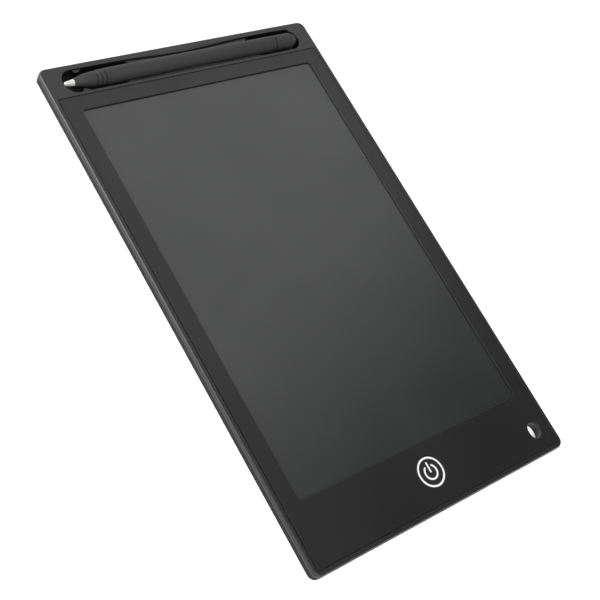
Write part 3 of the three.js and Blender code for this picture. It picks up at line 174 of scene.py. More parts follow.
# %% [markdown]
# ## Studio
#
# The tablet lies on a white surface in soft light. A flat plane would do for the photograph's own angle, but
# from low angles its far edge would show. So the floor is a wide round tray whose rim curves up behind the
# object. It has a little glow of its own for the camera and for reflections, which takes it to pure white
# without any more light on the object. Seen from below it is clear, so that the back can be looked at, and
# it is clear to rays that have only just left the underside, so that light from below reaches the back.

# %% The floor tray
TRAY_MIDDLE_RINGS = (0.02, 0.3)
TRAY_FLAT = 1.3
TRAY_CURVE = 0.5
TRAY_WALL = 0.45
TRAY_SIDES = 96
TRAY_CURVE_STEPS = 16
TRAY_DROP = 0.00005


def strips(rings, count):
    """Faces between rings of points, each ring with count points and numbered on from the one before it."""
    for low in range(0, (rings - 1) * count, count):
        for i in range(count):
            j = (i + 1) % count
            yield low + i, low + j, low + count + j, low + count + i


tray_profile = [(radius, 0) for radius in (*TRAY_MIDDLE_RINGS, TRAY_FLAT)]
for step in range(1, TRAY_CURVE_STEPS + 1):
    turn = math.pi / 2 * step / TRAY_CURVE_STEPS
    tray_profile.append((TRAY_FLAT + TRAY_CURVE * math.sin(turn), TRAY_CURVE * (1 - math.cos(turn))))
tray_profile.append((TRAY_FLAT + TRAY_CURVE, TRAY_CURVE + TRAY_WALL))
tray_turns = [2 * math.pi * side / TRAY_SIDES for side in range(TRAY_SIDES)]
tray_points = [
    (radius * math.cos(turn), radius * math.sin(turn), height - TRAY_DROP)
    for radius, height in tray_profile
    for turn in tray_turns
]
# The tray is seen from inside, so its faces run the other way round.
tray_faces = [(a, d, c, b) for a, b, c, d in strips(len(tray_profile), TRAY_SIDES)]
tray_mesh = bpy.data.meshes.new("studio_floor")
tray_mesh.from_pydata(tray_points, [], [tuple(range(TRAY_SIDES)), *tray_faces])
tray_mesh.shade_smooth()
studio_floor = add_object("studio_floor", tray_mesh)
studio_floor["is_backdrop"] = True
print("floor faces:", len(tray_mesh.polygons))

# %% The floor's material
FLOOR_GLOW = 0.4
CONTACT_LENGTH = 0.0002  # the floor is clear to rays shorter than this
MOTTLE_SCALE, MOTTLE_DETAIL = 3.0, 2.0
MOTTLE_LEVELS = (0.86, 0.9)

floor_material = bpy.data.materials.new("studio_white")
floor_material.use_nodes = True
tree = floor_material.node_tree
tree.nodes.clear()
place = add_node(tree, "ShaderNodeTexCoord").outputs["Object"]
paper = spread(tree, noise(tree, place, MOTTLE_SCALE, MOTTLE_DETAIL), 0.0, 1.0, *MOTTLE_LEVELS)
surface = add_node(tree, "ShaderNodeBsdfDiffuse", {"Color": paper})
rays = add_node(tree, "ShaderNodeLightPath").outputs
mirrored = calc(tree, "MAXIMUM", rays["Is Glossy Ray"], rays["Is Transmission Ray"])
seen = calc(tree, "MAXIMUM", rays["Is Camera Ray"], mirrored)
emission = add_node(tree, "ShaderNodeEmission", {"Strength": calc(tree, "MULTIPLY", seen, FLOOR_GLOW)})
lit = add_node(tree, "ShaderNodeAddShader", {0: surface.outputs[0], 1: emission.outputs[0]})
clear = add_node(tree, "ShaderNodeBsdfTransparent")
below = add_node(tree, "ShaderNodeNewGeometry").outputs["Backfacing"]
passed = calc(tree, "MAXIMUM", below, calc(tree, "LESS_THAN", rays["Ray Length"], CONTACT_LENGTH))
mixed = add_node(tree, "ShaderNodeMixShader", {0: passed, 1: lit.outputs[0], 2: clear.outputs[0]})
add_node(tree, "ShaderNodeOutputMaterial", {"Surface": mixed.outputs[0]})
tray_mesh.materials.append(floor_material)
print("floor glow:", FLOOR_GLOW)

# %% [markdown]
# ## Light
#
# On black plastic the lamps show mostly as their own reflections. The photograph is brightest at the top left
# and fades evenly towards the bottom right, which is the mirror image of one large softbox above the far
# corner of the tablet. A low one at the left draws the bright line along the left edge, and one above the
# camera lights what is white or grey. Each lamp is given as a direction, a distance, a size and a brightness,
# from which its power follows. The sky gives next to no light above the floor, though the camera sees it
# white. Below the floor it is bright, and lights the back.

# %% Softboxes and sky
SOFTBOXES = {
    # name: (azimuth and elevation in degrees, distance, width, height, turn in degrees, brightness)
    "far_softbox": (45.5, 49.5, 1.12, 0.85, 0.77, -11, 1.4),
    "left_softbox": (147.5, 12.2, 0.76, 0.65, 0.32, 0, 9.5),
    "overhead_softbox": (243, 60.0, 1.13, 0.59, 0.96, -28, 5.8),
}
SKY_LEVEL = 0.02
UNDER_SKY_LEVEL = 0.8
SKY_EDGE = -0.1  # height at which the lower sky has its full level, on a ray of length 1

for name, (azimuth, elevation, distance, width, height, turn, brightness) in SOFTBOXES.items():
    lamp = bpy.data.lights.new(name, "AREA")
    lamp.shape = "RECTANGLE"
    lamp.size, lamp.size_y = width, height
    lamp.energy = brightness * math.pi * width * height
    holder = add_object(name, lamp)
    level = math.cos(math.radians(elevation))
    back = Vector((
        level * math.cos(math.radians(azimuth)),
        level * math.sin(math.radians(azimuth)),
        math.sin(math.radians(elevation)),
    ))
    holder.location = back * distance
    holder.rotation_mode = "QUATERNION"
    aim = (-back).to_track_quat("-Z", "Y")
    holder.rotation_quaternion = aim @ Quaternion((0, 0, 1), math.radians(turn))
sky = bpy.data.worlds.new("studio_sky")
sky.use_nodes = True
sky.node_tree.nodes["Background"].inputs["Color"].default_value = (1, 1, 1, 1)
tree = sky.node_tree
way = add_node(tree, "ShaderNodeTexCoord").outputs["Generated"]
upwards = add_node(tree, "ShaderNodeSeparateXYZ", {0: way}).outputs["Z"]
under = spread(tree, upwards, 0.0, SKY_EDGE)
rays = add_node(tree, "ShaderNodeLightPath").outputs
mirrored = calc(tree, "MAXIMUM", rays["Is Glossy Ray"], rays["Is Transmission Ray"])
seen = calc(tree, "MAXIMUM", rays["Is Camera Ray"], calc(tree, "MULTIPLY", mirrored, under))
level = spread(tree, under, 0.0, 1.0, SKY_LEVEL, UNDER_SKY_LEVEL)
level = calc(tree, "MAXIMUM", level, seen)
tree.links.new(level, tree.nodes["Background"].inputs["Strength"])
scene.world = sky
print("softboxes:", len(SOFTBOXES))

# %% [markdown]
# ## Surface effects as node groups
#
# Moulded plastic is never one flat colour. The steel mould leaves a fine grain, the pigment drifts a little
# in tone, edges that hands touch turn slightly lighter and smoother, and handling leaves faint smears in the
# gloss. Creases are darkened with painted shade. Each effect is a node group with named inputs, built once,
# and each material places it with its own values. The groups only put out colours, masks and normals. The
# shader itself stays in the material.

# %% Grain of a moulded or rolled surface
GREY = (0.5, 0.5, 0.5, 1)
GRAIN_DETAIL, GRAIN_ROUGHNESS = 3.0, 0.6

grain, taken, given = new_group(
    "surface_grain",
    "ShaderNodeTree",
    {
        "Place": (VECTOR, None),
        "Grain size": (FLOAT, 0.0003),
        "Grain depth": (FLOAT, 0.000004),
        "Stretch": (VECTOR, (1, 1, 1)),
    },
    {"Level": (FLOAT, None), "Normal": (VECTOR, None)},
)
drawn = {0: taken["Place"], 1: taken["Stretch"]}
drawn = add_node(grain, "ShaderNodeVectorMath", drawn, operation="MULTIPLY").outputs[0]
fineness = calc(grain, "DIVIDE", 1.0, taken["Grain size"])
pits = noise(grain, drawn, fineness, GRAIN_DETAIL, Roughness=GRAIN_ROUGHNESS)
raised = {"Strength": 1.0, "Distance": taken["Grain depth"], "Height": pits}
raised = add_node(grain, "ShaderNodeBump", raised).outputs[0]
grain.links.new(pits, given["Level"])
grain.links.new(raised, given["Normal"])
print(grain.name, "made")

# %% Drift in tone
DRIFT_DETAIL = 4.0
DRIFT_RANGE = (0.3, 0.7)

drift, taken, given = new_group(
    "tone_drift",
    "ShaderNodeTree",
    {
        "Place": (VECTOR, None),
        "Colour": (COLOUR, GREY),
        "Patch size": (FLOAT, 0.03),
        "Amount": (FLOAT, 0.1),
    },
    {"Colour": (COLOUR, None)},
)
clouds = noise(drift, taken["Place"], calc(drift, "DIVIDE", 1.0, taken["Patch size"]), DRIFT_DETAIL)
darker = calc(drift, "SUBTRACT", 1.0, taken["Amount"])
lighter = calc(drift, "ADD", 1.0, taken["Amount"])
factor = spread(drift, clouds, *DRIFT_RANGE, darker, lighter)
toned = add_node(drift, "ShaderNodeVectorMath", {0: taken["Colour"], "Scale": factor}, operation="SCALE")
drift.links.new(toned.outputs[0], given["Colour"])
print(drift.name, "made")

# %% Edges that hands have polished, and painted shade in creases
FLAT_FACING = 0.998  # share of a normal along one axis, from which on its face counts as flat
RIM_BEND = (0.51, 0.6)  # Pointiness is 0.5 on a flat face, more on an edge and less in a crease
# Below 0.5 the colour is darkened: painted shade in creases
CREASE_SHADE_BEND = (0.49, 0.42)
WEAR_SCALE, WEAR_DETAIL = 260.0, 3.0

edges, taken, given = new_group(
    "edge_wear_and_crease_shade",
    "ShaderNodeTree",
    {
        "Place": (VECTOR, None),
        "Colour": (COLOUR, GREY),
        "Amount": (FLOAT, 0.3),
        "Crease shade": (FLOAT, 0.6),
    },
    {"Colour": (COLOUR, None), "Mask": (FLOAT, None)},
)
bend = add_node(edges, "ShaderNodeNewGeometry").outputs["Pointiness"]
facing = add_node(edges, "ShaderNodeTexCoord").outputs["Normal"]
facing = add_node(edges, "ShaderNodeVectorMath", {0: facing}, operation="ABSOLUTE").outputs[0]
axes = add_node(edges, "ShaderNodeSeparateXYZ", {0: facing}).outputs
square = calc(edges, "MAXIMUM", calc(edges, "MAXIMUM", axes["X"], axes["Y"]), axes["Z"])
rounded = spread(edges, square, 1.0, FLAT_FACING)
worn = noise(edges, taken["Place"], WEAR_SCALE, WEAR_DETAIL)
worn = calc(edges, "MULTIPLY", spread(edges, bend, *RIM_BEND), worn)
worn = calc(edges, "MULTIPLY", worn, rounded)
# Painted shade: the colour is made darker in creases, where shade falls
crease_shade = calc(edges, "MULTIPLY", spread(edges, bend, *CREASE_SHADE_BEND), rounded)
mask = calc(edges, "MULTIPLY", worn, taken["Amount"])
shade = calc(edges, "MULTIPLY", crease_shade, taken["Crease shade"])
gain = calc(edges, "SUBTRACT", calc(edges, "ADD", 1.0, mask), shade)
worn_and_shaded = add_node(edges, "ShaderNodeVectorMath", {0: taken["Colour"], "Scale": gain}, operation="SCALE")
edges.links.new(worn_and_shaded.outputs[0], given["Colour"])
edges.links.new(mask, given["Mask"])
print(edges.name, "made")

# %% Smears and hairlines in the gloss
SMEAR_SCALE, SMEAR_DETAIL, SMEAR_TWIST = 22.0, 5.0, 0.6
SMEAR_RANGE = (0.35, 0.65)
HAIR_TURN = (0, 0, 0.7)
HAIR_SCALE = (900, 14, 60)
HAIR_DETAIL = 2.0
HAIR_RANGE = (0.62, 0.72)
GRAIN_SHARE = 0.04

smears, taken, given = new_group(
    "handling_smears",
    "ShaderNodeTree",
    {
        "Place": (VECTOR, None),
        "Roughness": (FLOAT, 0.4),
        "Smear": (FLOAT, 0.06),
        "Hairline": (FLOAT, 0.05),
        "Grain": (FLOAT, 0.5),
        "Polish": (FLOAT, 0.0),
    },
    {"Roughness": (FLOAT, None)},
)
grease = noise(smears, taken["Place"], SMEAR_SCALE, SMEAR_DETAIL, Distortion=SMEAR_TWIST)
grease = spread(smears, grease, *SMEAR_RANGE, -1.0, 1.0)
across = {"Vector": taken["Place"], "Rotation": HAIR_TURN, "Scale": HAIR_SCALE}
across = add_node(smears, "ShaderNodeMapping", across).outputs[0]
hairs = spread(smears, noise(smears, across, 1.0, HAIR_DETAIL), *HAIR_RANGE)
pitted = spread(smears, taken["Grain"], 0.0, 1.0, -GRAIN_SHARE, GRAIN_SHARE)
total = calc(smears, "MULTIPLY_ADD", grease, taken["Smear"], taken["Roughness"])
total = calc(smears, "MULTIPLY_ADD", hairs, taken["Hairline"], total)
total = calc(smears, "ADD", total, pitted)
total = calc(smears, "SUBTRACT", total, taken["Polish"], use_clamp=True)
smears.links.new(total, given["Roughness"])
print(smears.name, "made")

# %% [markdown]
# ## Materials
#
# One function turns a line of a table into a finished material, because all finishes here follow the same
# plan: a colour that drifts, pales at the edges and is darkened in creases by painted shade, a roughness
# broken by grain and smears, and a bump from the grain. What is even all over a surface, such as the strength
# of its highlights, is set on the shader.

# %% A function that makes a material

# What a finish has unless its line says otherwise. Lengths are in millimetres.
PLAIN_FINISH = {
    "grain_size": 0.3, "grain_depth": 0.004, "stretch": (1, 1, 1), "patch": 30, "drift": 0.08, "edges": 0.25,
    "smear": 0.03, "hairline": 0.03, "metallic": 0, "specular": 0.5, "coat": 0, "coat_roughness": 0.1,
}


def linear(hex_colour):
    """Linear colour from the red, green and blue of a six-digit number, by the sRGB curve."""
    shares = [(hex_colour >> shift & 255) / 255 for shift in (16, 8, 0)]
    return (*[s / 12.92 if s <= 0.04045 else ((s + 0.055) / 1.055) ** 2.4 for s in shares], 1)


def make_material(name, colour, roughness, **own):
    """Material of one finish. own holds the values in which it differs from the plain finish."""
    finish = {**PLAIN_FINISH, **own}
    material = bpy.data.materials.new(name)
    material.use_nodes = True
    tree = material.node_tree
    shader = tree.nodes["Principled BSDF"]
    place = add_node(tree, "ShaderNodeTexCoord").outputs["Object"]

    def placed(effect, **values):
        inputs = {key.replace("_", " "): value for key, value in values.items()}
        return add_node(tree, "ShaderNodeGroup", {"Place": place, **inputs}, node_tree=effect).outputs

    size, depth, patch = (finish[key] * MM for key in ("grain_size", "grain_depth", "patch"))
    grained = placed(grain, Grain_size=size, Grain_depth=depth, Stretch=finish["stretch"])
    toned = placed(drift, Colour=linear(colour), Patch_size=patch, Amount=finish["drift"])
    # The edge group pales worn edges and darkens creases with painted shade
    edge_wear_and_shade = placed(edges, Colour=toned["Colour"], Amount=finish["edges"])
    smeared = placed(
        smears, Roughness=roughness, Smear=finish["smear"], Hairline=finish["hairline"],
        Grain=grained["Level"], Polish=edge_wear_and_shade["Mask"],
    )
    for socket, output in (
        ("Base Color", edge_wear_and_shade["Colour"]), ("Roughness", smeared["Roughness"]), ("Normal", grained["Normal"])
    ):
        tree.links.new(output, shader.inputs[socket])
    for socket, key in (
        ("Metallic", "metallic"), ("Specular IOR Level", "specular"), ("Coat Weight", "coat"),
        ("Coat Roughness", "coat_roughness"),
    ):
        shader.inputs[socket].default_value = finish[key]
    return material


print("effects shared by the finishes:", len([grain, drift, edges, smears]))

# %% The finishes
FINISH_TABLE = (
    # slot, material, colour, roughness, and what differs from the plain finish
    ("frame_plastic", "satin_black_frame", 0x0b0b0c, 0.42,
     dict(grain_size=0.35, grain_depth=0.005, smear=0.02, edges=0.5, specular=0.66)),
    ("faceplate_plastic", "satin_black_faceplate", 0x0b0b0c, 0.42,
     dict(grain_size=0.3, grain_depth=0.003, smear=0.025, edges=0.3, specular=0.52)),
    ("cover_plastic", "textured_black_cover", 0x101011, 0.57,
     dict(grain_size=0.5, grain_depth=0.012, smear=0.02, edges=0.5, specular=0.35)),
    ("writing_film", "liquid_crystal_film", 0x202121, 0.34,
     dict(grain_size=0.16, grain_depth=0.0012, drift=0.05, patch=60, hairline=0.05, edges=0, specular=0.74)),
    ("button_plastic", "satin_black_button", 0x141415, 0.42,
     dict(grain_size=0.25, grain_depth=0.002, edges=0.3)),
    ("white_print", "white_print", 0xf6f6f6, 0.5,
     dict(grain_size=0.2, grain_depth=0.001, drift=0.015, edges=0)),
    ("stylus_plastic", "satin_black_stylus", 0x343435, 0.64,
     dict(grain_size=0.3, grain_depth=0.003, patch=12, edges=0.3, specular=0.4)),
    ("nib_plastic", "pale_grey_nib", 0xd6d6d4, 0.45,
     dict(grain_size=0.25, grain_depth=0.003, patch=3, drift=0.05, edges=0.1)),
    ("adhesive_tape", "grey_tape", 0x8c8c88, 0.85, dict(grain_size=0.6, grain_depth=0.02, edges=0)),
    ("backing_sheet", "black_backing", 0x151515, 0.8, dict(grain_size=0.4, grain_depth=0.01, edges=0)),
    ("flex_lead", "amber_flex", 0xb87333, 0.35, dict(grain_size=0.8, grain_depth=0.004, coat=0.4)),
    ("spring_steel", "spring_steel", 0xb8babc, 0.3,
     dict(metallic=1, grain_size=0.4, grain_depth=0.003, stretch=(0.1, 1, 1))),
    ("cell_steel", "nickel_cell", 0xc8cacc, 0.28,
     dict(metallic=1, grain_size=0.3, grain_depth=0.003, stretch=(0.15, 1, 1))),
    ("screw_steel", "dark_plated_screw", 0x6c6e72, 0.35,
     dict(metallic=1, grain_size=0.2, grain_depth=0.003, patch=2, edges=0.5)),
    ("board_laminate", "green_solder_mask", 0x1c4a2c, 0.4,
     dict(grain_size=0.5, grain_depth=0.006, patch=8, coat=0.3)),
    ("chip_body", "moulded_black_chip", 0x18181a, 0.6, dict(grain_size=0.1, grain_depth=0.004)),
    ("capacitor_ceramic", "tan_ceramic", 0x9c7b52, 0.5, dict(grain_size=0.15, grain_depth=0.003)),
)
FINISHES = {slot: make_material(*values, **own) for slot, *values, own in FINISH_TABLE}
print("finishes:", len(FINISHES))

# %% [markdown]
# ## Shaping tools
#
# The case is a set of flat shells with rounded rims and openings. A bevel modifier could round them, but it
# trips over the many short edges that cut solids have. Here the rounding is in the tools instead. An outline
# is a function that can be grown or shrunk, a prism stacks copies of it, and where a hole meets a face the
# prism flares like a trumpet. Cutting with it leaves a hole whose mouth is already round.

# %% Outlines
CORNER_SHARES = 16


def rounded_rectangle(left, right, bottom, top, radius):
    """Outline of a rectangle with round corners, as a function of how far it is grown."""

    def outline(grow=0.0):
        arc = max(radius + grow, 0.01)
        corners = (
            (right - radius, bottom + radius, -90),
            (right - radius, top - radius, 0),
            (left + radius, top - radius, 90),
            (left + radius, bottom + radius, 180),
        )
        turns = [90 * i / CORNER_SHARES for i in range(CORNER_SHARES + 1)]
        return [
            (x + arc * math.cos(math.radians(start + turn)), y + arc * math.sin(math.radians(start + turn)))
            for x, y, start in corners
            for turn in turns
        ]

    return outline


def upright_oval(x, y, width, length):
    """Outline of an oval with round ends that stands along Y."""
    half, reach = width / 2, length / 2
    return rounded_rectangle(x - half, x + half, y - reach, y + reach, half)


def grown(points, grow):
    """Closed line of points, each moved out along the line's own normal there."""
    moved = []
    for i, (x, y) in enumerate(points):
        (x0, y0), (x1, y1) = points[i - 1], points[(i + 1) % len(points)]
        length = math.hypot(x1 - x0, y1 - y0)
        moved.append((x + grow * (y1 - y0) / length, y - grow * (x1 - x0) / length))
    return moved


print("points in a corner:", CORNER_SHARES + 1)

# %% Prisms and round rims
RIM_STEPS = 6
OVERRUN = 1.0  # how far a cutter reaches past what it cuts


def mesh_piece(name, points, faces, lines=()):
    """Object at the origin, with a mesh from points in millimetres."""
    mesh = bpy.data.meshes.new(name)
    mesh.from_pydata([[c * MM for c in point] for point in points], lines, faces)
    return add_object(name, mesh)


def prism(name, outline, steps):
    """Closed body through copies of an outline. Each step says how far it is grown, and its height."""
    points = [(x, y, height) for grow, height in steps for x, y in outline(grow)]
    count = len(points) // len(steps)
    ends = [tuple(reversed(range(count))), tuple(range(len(points) - count, len(points)))]
    return mesh_piece(name, points, [*ends, *strips(len(steps), count)])


def rim(face, radius, start=0.0, side=1):
    """Steps of a quarter round up to a face above. side 1 flares a cutter out, and -1 draws a body in."""
    turns = [math.pi / 2 * i / RIM_STEPS for i in range(RIM_STEPS + 1)]
    return [
        (start + side * radius * (1 - math.cos(t)), face - radius + radius * math.sin(t)) for t in turns
    ]


def low_rim(face, radius, start=0.0, side=1):
    """The same quarter round, up from a face below."""
    return [(grow, 2 * face - height) for grow, height in reversed(rim(face, radius, start, side))]


def flared(name, outline, low, face, edge, start=0.0):
    """Cutter from a height below a face up through it, with a round flare at the face."""
    return prism(name, outline, [(start, low), *rim(face, edge, start), (edge, face + OVERRUN)])


print("steps in a rim:", RIM_STEPS + 1)

# %% Copies of CAD nodes, cutting and surface finish
WELD = 1e-6
FLAT_ANGLE = math.radians(0.4)
SHARP_ANGLE = math.radians(34)
FLAT_COSINE = math.cos(math.radians(0.3))


def plain_mesh(name, source):
    """Plain mesh object from an object with its modifiers. The source is removed."""
    evaluated = source.evaluated_get(bpy.context.evaluated_depsgraph_get())
    mesh = bpy.data.meshes.new_from_object(evaluated)
    bpy.data.objects.remove(source)
    mesh.name = name
    return add_object(name, mesh)


def cleaned(mesh, weld, mended=False):
    """Welds the points of a mesh and joins faces that lie in one plane. Mended, its faces all look out."""
    body = bmesh.new()
    body.from_mesh(mesh)
    bmesh.ops.remove_doubles(body, verts=body.verts, dist=weld)
    if mended:
        bmesh.ops.dissolve_degenerate(body, dist=weld, edges=body.edges)
    bmesh.ops.dissolve_limit(
        body, angle_limit=FLAT_ANGLE, verts=body.verts, edges=body.edges, delimit=set()
    )
    if mended:
        bmesh.ops.recalc_face_normals(body, faces=body.faces)
    body.to_mesh(mesh)
    body.free()


def copy_of(node, name):
    """Copy of a CAD node with its loose triangles welded together."""
    mesh = frame["nodes"][node].data.copy()
    mesh.materials.clear()
    cleaned(mesh, WELD / 10)
    return add_object(name, mesh)


def shaped(name, base, keep=(), cut=()):
    """The base, less what is outside each body of keep, and less what is inside each body of cut."""
    for operation, tools in (("INTERSECT", keep), ("DIFFERENCE", cut)):
        for tool in tools:
            step = base.modifiers.new(tool.name, "BOOLEAN")
            step.operation, step.object, step.solver = operation, tool, "EXACT"
    piece = plain_mesh(name, base)
    for tool in (*keep, *cut):
        bpy.data.objects.remove(tool)
    return piece


def smoothed(piece, axes="xyz"):
    """Welds the mesh, shades its rounds smooth and keeps the faces square to the named axes flat."""
    mesh = piece.data
    cleaned(mesh, WELD, mended=True)
    mesh.shade_smooth()
    mesh.set_sharp_from_angle(angle=SHARP_ANGLE)
    flats = {}
    for face in mesh.polygons:
        if any(abs(face.normal["xyz".index(axis)]) > FLAT_COSINE for axis in axes):
            for vertex in face.vertices:
                flats.setdefault(vertex, []).append(face.normal.copy())
    normals = [corner.vector.copy() for corner in mesh.corner_normals]
    for face in mesh.polygons:
        for corner in face.loop_indices:
            for flat in flats.get(mesh.loops[corner].vertex_index, ()):
                if flat.dot(face.normal) > math.cos(SHARP_ANGLE):
                    normals[corner] = flat
    mesh.normals_split_custom_set(normals)
    return piece


def dressed(piece, body, slot_name, *nodes, axes="xyz"):
    """Smooths a piece, gives it its finish and its body, and hides the CAD nodes that it stands for."""
    smoothed(piece, axes)
    piece.data.materials.clear()
    piece.data.materials.append(FINISHES[slot_name])
    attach(piece, body)
    if nodes:
        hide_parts(*nodes)
    print(piece.name, "faces:", len(piece.data.polygons), "on", body)
    return piece


# %% [markdown]
# ## Front frame
#
# The frame is the part that the hand holds: a rounded outer edge, a seat for the faceplate and the long slot
# for the stylus. Its CAD solid already has the seat, the slot, the snap fingers and the ribs. So a copy of it
# is trimmed by a smooth prism, which replaces the faceted outer edge by a true round, and the mouths of the
# seat and the slot are eased with flared cutters. The lanyard hole is cut with straight walls.

# %% Sizes of the case
(left, bottom, _), (right, top, face_height) = box_of("front_frame")
PARTING = 2.2
PARTING_ROUND = 0.12
GROOVE_TOP = 2.45
SKIN = 0.005  # how far the smooth shapes lie inside the faceted ones
BODY_RADIUS = 3.5
EDGE_STEPS = 6
(_, _, seat_height), (_, _, plate_top) = box_of("faceplate")
SEAT_INSET = 2.0
SEAT_TOP = 97.35
SEAT_RADIUS = 1.3
HOLE = (58.5, -101.5, 6.0, 7.3)  # x, y, width and length

# The face's edge, as (width, drop) from the outer wall and the face: a slanted facet, then a soft corner.
EDGE_FOOT = (0, 1.5)
EDGE_LOW = (0.09, 0.82)
EDGE_HIGH = (0.42, 0.22)
EDGE_CORNER = (0.53, 0)
EDGE_END = (0.85, 0)

body_outline = rounded_rectangle(left, right, bottom, top, BODY_RADIUS)
seat_outline = rounded_rectangle(
    left + SEAT_INSET, right - SEAT_INSET, bottom + SEAT_INSET, SEAT_TOP, SEAT_RADIUS
)
hole_outline = upright_oval(*HOLE)
print("case, mm:", round(right - left, 2), "by", round(top - bottom, 2), "by", round(face_height, 2))

# %% The slot's outline
SLOT_Y = 104.25
SLOT_HALF_WIDTH = 5.4
SLOT_END = 61.0
PINCH_HALF_LENGTH = 36.0
PINCH_DEPTH = 1.35
PINCH_SHARES = 48
SLOT_END_SHARES = 32


def slot_wall(x):
    """Half the width of the slot, which draws in towards the middle to hold the barrel."""
    share = min(abs(x) / PINCH_HALF_LENGTH, 1)
    return SLOT_HALF_WIDTH - PINCH_DEPTH * (1 + math.cos(math.pi * share)) / 2


def slot_outline(grow=0.0):
    points = []
    centre = SLOT_END - SLOT_HALF_WIDTH
    for side in (1, -1):
        for i in range(SLOT_END_SHARES + 1):
            turn = math.pi * (i / SLOT_END_SHARES - 0.5)
            x = side * (centre + SLOT_HALF_WIDTH * math.cos(turn))
            points.append((x, SLOT_Y + side * SLOT_HALF_WIDTH * math.sin(turn)))
        for i in range(PINCH_SHARES + 1):
            x = side * PINCH_HALF_LENGTH * (1 - 2 * i / PINCH_SHARES)
            points.append((x, SLOT_Y + side * slot_wall(x)))
    return grown(points, grow)


# The pen rests between two ledges along the slot's walls. They end short of the slot, with a slant.
LEDGE_ENDS = (
    # side, beyond the end of the ledge, its end at the wall and at the pen
    (1, -38.0, -29.5, -26.5),
    (-1, -38.0, -33.0, -31.0),
    (1, 38.0, 35.0, 32.0),
)
LEDGE_REACH = 3.0
LEDGE_LOW = 0.85
LEDGE_SKIN = 0.01
LEDGE_STEPS = 10


def ledge_end(side, beyond, at_wall, at_pen):
    """Outline of the space in front of one end of a ledge, from the slot's wall to the pen."""
    wall = []
    for i in range(LEDGE_STEPS + 1):
        x = beyond + (at_wall - beyond) * i / LEDGE_STEPS
        wall.append((x, SLOT_Y + side * (slot_wall(x) - LEDGE_SKIN)))
    inner = SLOT_Y + side * LEDGE_REACH
    points = [*wall, (at_pen, inner), (beyond, inner)]
    (x0, y0), (x1, y1), (x2, y2) = points[0], points[-3], points[-2]
    turn = (x1 - x0) * (y2 - y0) - (x2 - x0) * (y1 - y0)
    return points if turn > 0 else points[::-1]


print("slot points:", len(slot_outline()))

# %% Shape the frame
SEAT_ROUND = 0.25
SLOT_ROUND = 0.3
NUB_TOP = 4.15
KEEP_LOW = 0.5


def ledge_cutters():
    """Bodies that take away both materials in front of the ledges' ends."""
    return [
        prism("ledge_end", lambda grow, end=end: ledge_end(*end), [(0, LEDGE_LOW), (0, NUB_TOP + OVERRUN)])
        for end in LEDGE_ENDS
    ]


def face_edge(face):
    """Steps of the frame's outer edge, up to its face."""
    corner = [Vector(place) for place in (EDGE_HIGH, EDGE_CORNER, EDGE_END)]
    steps = [EDGE_FOOT, EDGE_LOW]
    for share in (i / EDGE_STEPS for i in range(EDGE_STEPS + 1)):
        first, last = corner[0].lerp(corner[1], share), corner[1].lerp(corner[2], share)
        steps.append(tuple(first.lerp(last, share)))
    return [(-SKIN - width, face - drop) for width, drop in steps]


def hole_cutter():
    return prism("hole_cutter", hole_outline, [(SKIN, -OVERRUN), (SKIN, face_height + OVERRUN)])


drawn_in = -SKIN - PARTING_ROUND
frame_keep = prism(
    "frame_keep",
    body_outline,
    [(drawn_in, KEEP_LOW), *low_rim(GROOVE_TOP, PARTING_ROUND, drawn_in), *face_edge(face_height - SKIN)],
)
front_frame = shaped(
    "case_front_frame",
    copy_of("front_frame", "frame_base"),
    keep=[frame_keep],
    cut=[
        flared("seat_mouth", seat_outline, seat_height + SKIN, face_height, SEAT_ROUND, SKIN),
        flared("slot_mouth", slot_outline, NUB_TOP + SKIN, face_height, SLOT_ROUND, SKIN),
        *ledge_cutters(),
        hole_cutter(),
    ],
)
dressed(front_frame, "tablet", "frame_plastic", "front_frame")

# %% [markdown]
# ## Faceplate
#
# A plate half a millimetre thick lies in the seat and frames the screen. Its edges are soft, because it is
# moulded: the outer one, the window's, the button hole's and the dished one round the lanyard hole. The
# photograph shows each as a fine light or dark line. The plate is simple enough to be cut from a fresh prism.

# %% Shape the faceplate
PLATE_GAP = 0.3
PLATE_TOP_GAP = 0.12
PLATE_RADIUS = 1.0
PLATE_ROUND = 0.2
WINDOW = (59.3, -85.0, 90.4, 1.8)  # half width, bottom, top and radius
WINDOW_ROUND = 0.35
BUTTON_Y = -97.3
BUTTON_HOLE = 6.75
HOLE_ROUND = 0.4

plate_outline = rounded_rectangle(
    left + SEAT_INSET + PLATE_GAP,
    right - SEAT_INSET - PLATE_GAP,
    bottom + SEAT_INSET + PLATE_GAP,
    SEAT_TOP - PLATE_TOP_GAP,
    PLATE_RADIUS,
)
half_width, window_bottom, window_top, window_radius = WINDOW
window_outline = rounded_rectangle(-half_width, half_width, window_bottom, window_top, window_radius)
faceplate = shaped(
    "case_faceplate",
    prism("plate_base", plate_outline, [(0, seat_height), *rim(plate_top, PLATE_ROUND, 0, -1)]),
    cut=[
        flared(name, outline, seat_height - OVERRUN, plate_top, edge)
        for name, outline, edge in (
            ("window_cut", window_outline, WINDOW_ROUND),
            ("button_cut", upright_oval(0, BUTTON_Y, 2 * BUTTON_HOLE, 2 * BUTTON_HOLE), PLATE_ROUND),
            ("hole_cut", hole_outline, HOLE_ROUND),
        )
    ],
)
dressed(faceplate, "tablet", "faceplate_plastic", "faceplate")

# %% [markdown]
# ## Rear cover
#
# The cover shows as the lower band of the side wall and as the whole back, with the recess for the battery
# door, the scooped slot of the lock slider and the lanyard hole. Inside it carries ribs, a cup for the coin
# cell and bosses for screws. Those come with the copy of the CAD solid. The outside is smoothed as before.

# %% Shape the rear cover
BOTTOM_ROUND = 0.5
(door_left, door_bottom, _), (door_right, door_top, _) = box_of("battery_door")
DOOR_GAP = 0.3
DOOR_RADIUS = 1.3
DOOR_THICKNESS = 0.9
MOUTH_ROUND = 0.2
PARTING_GAP = 0.002

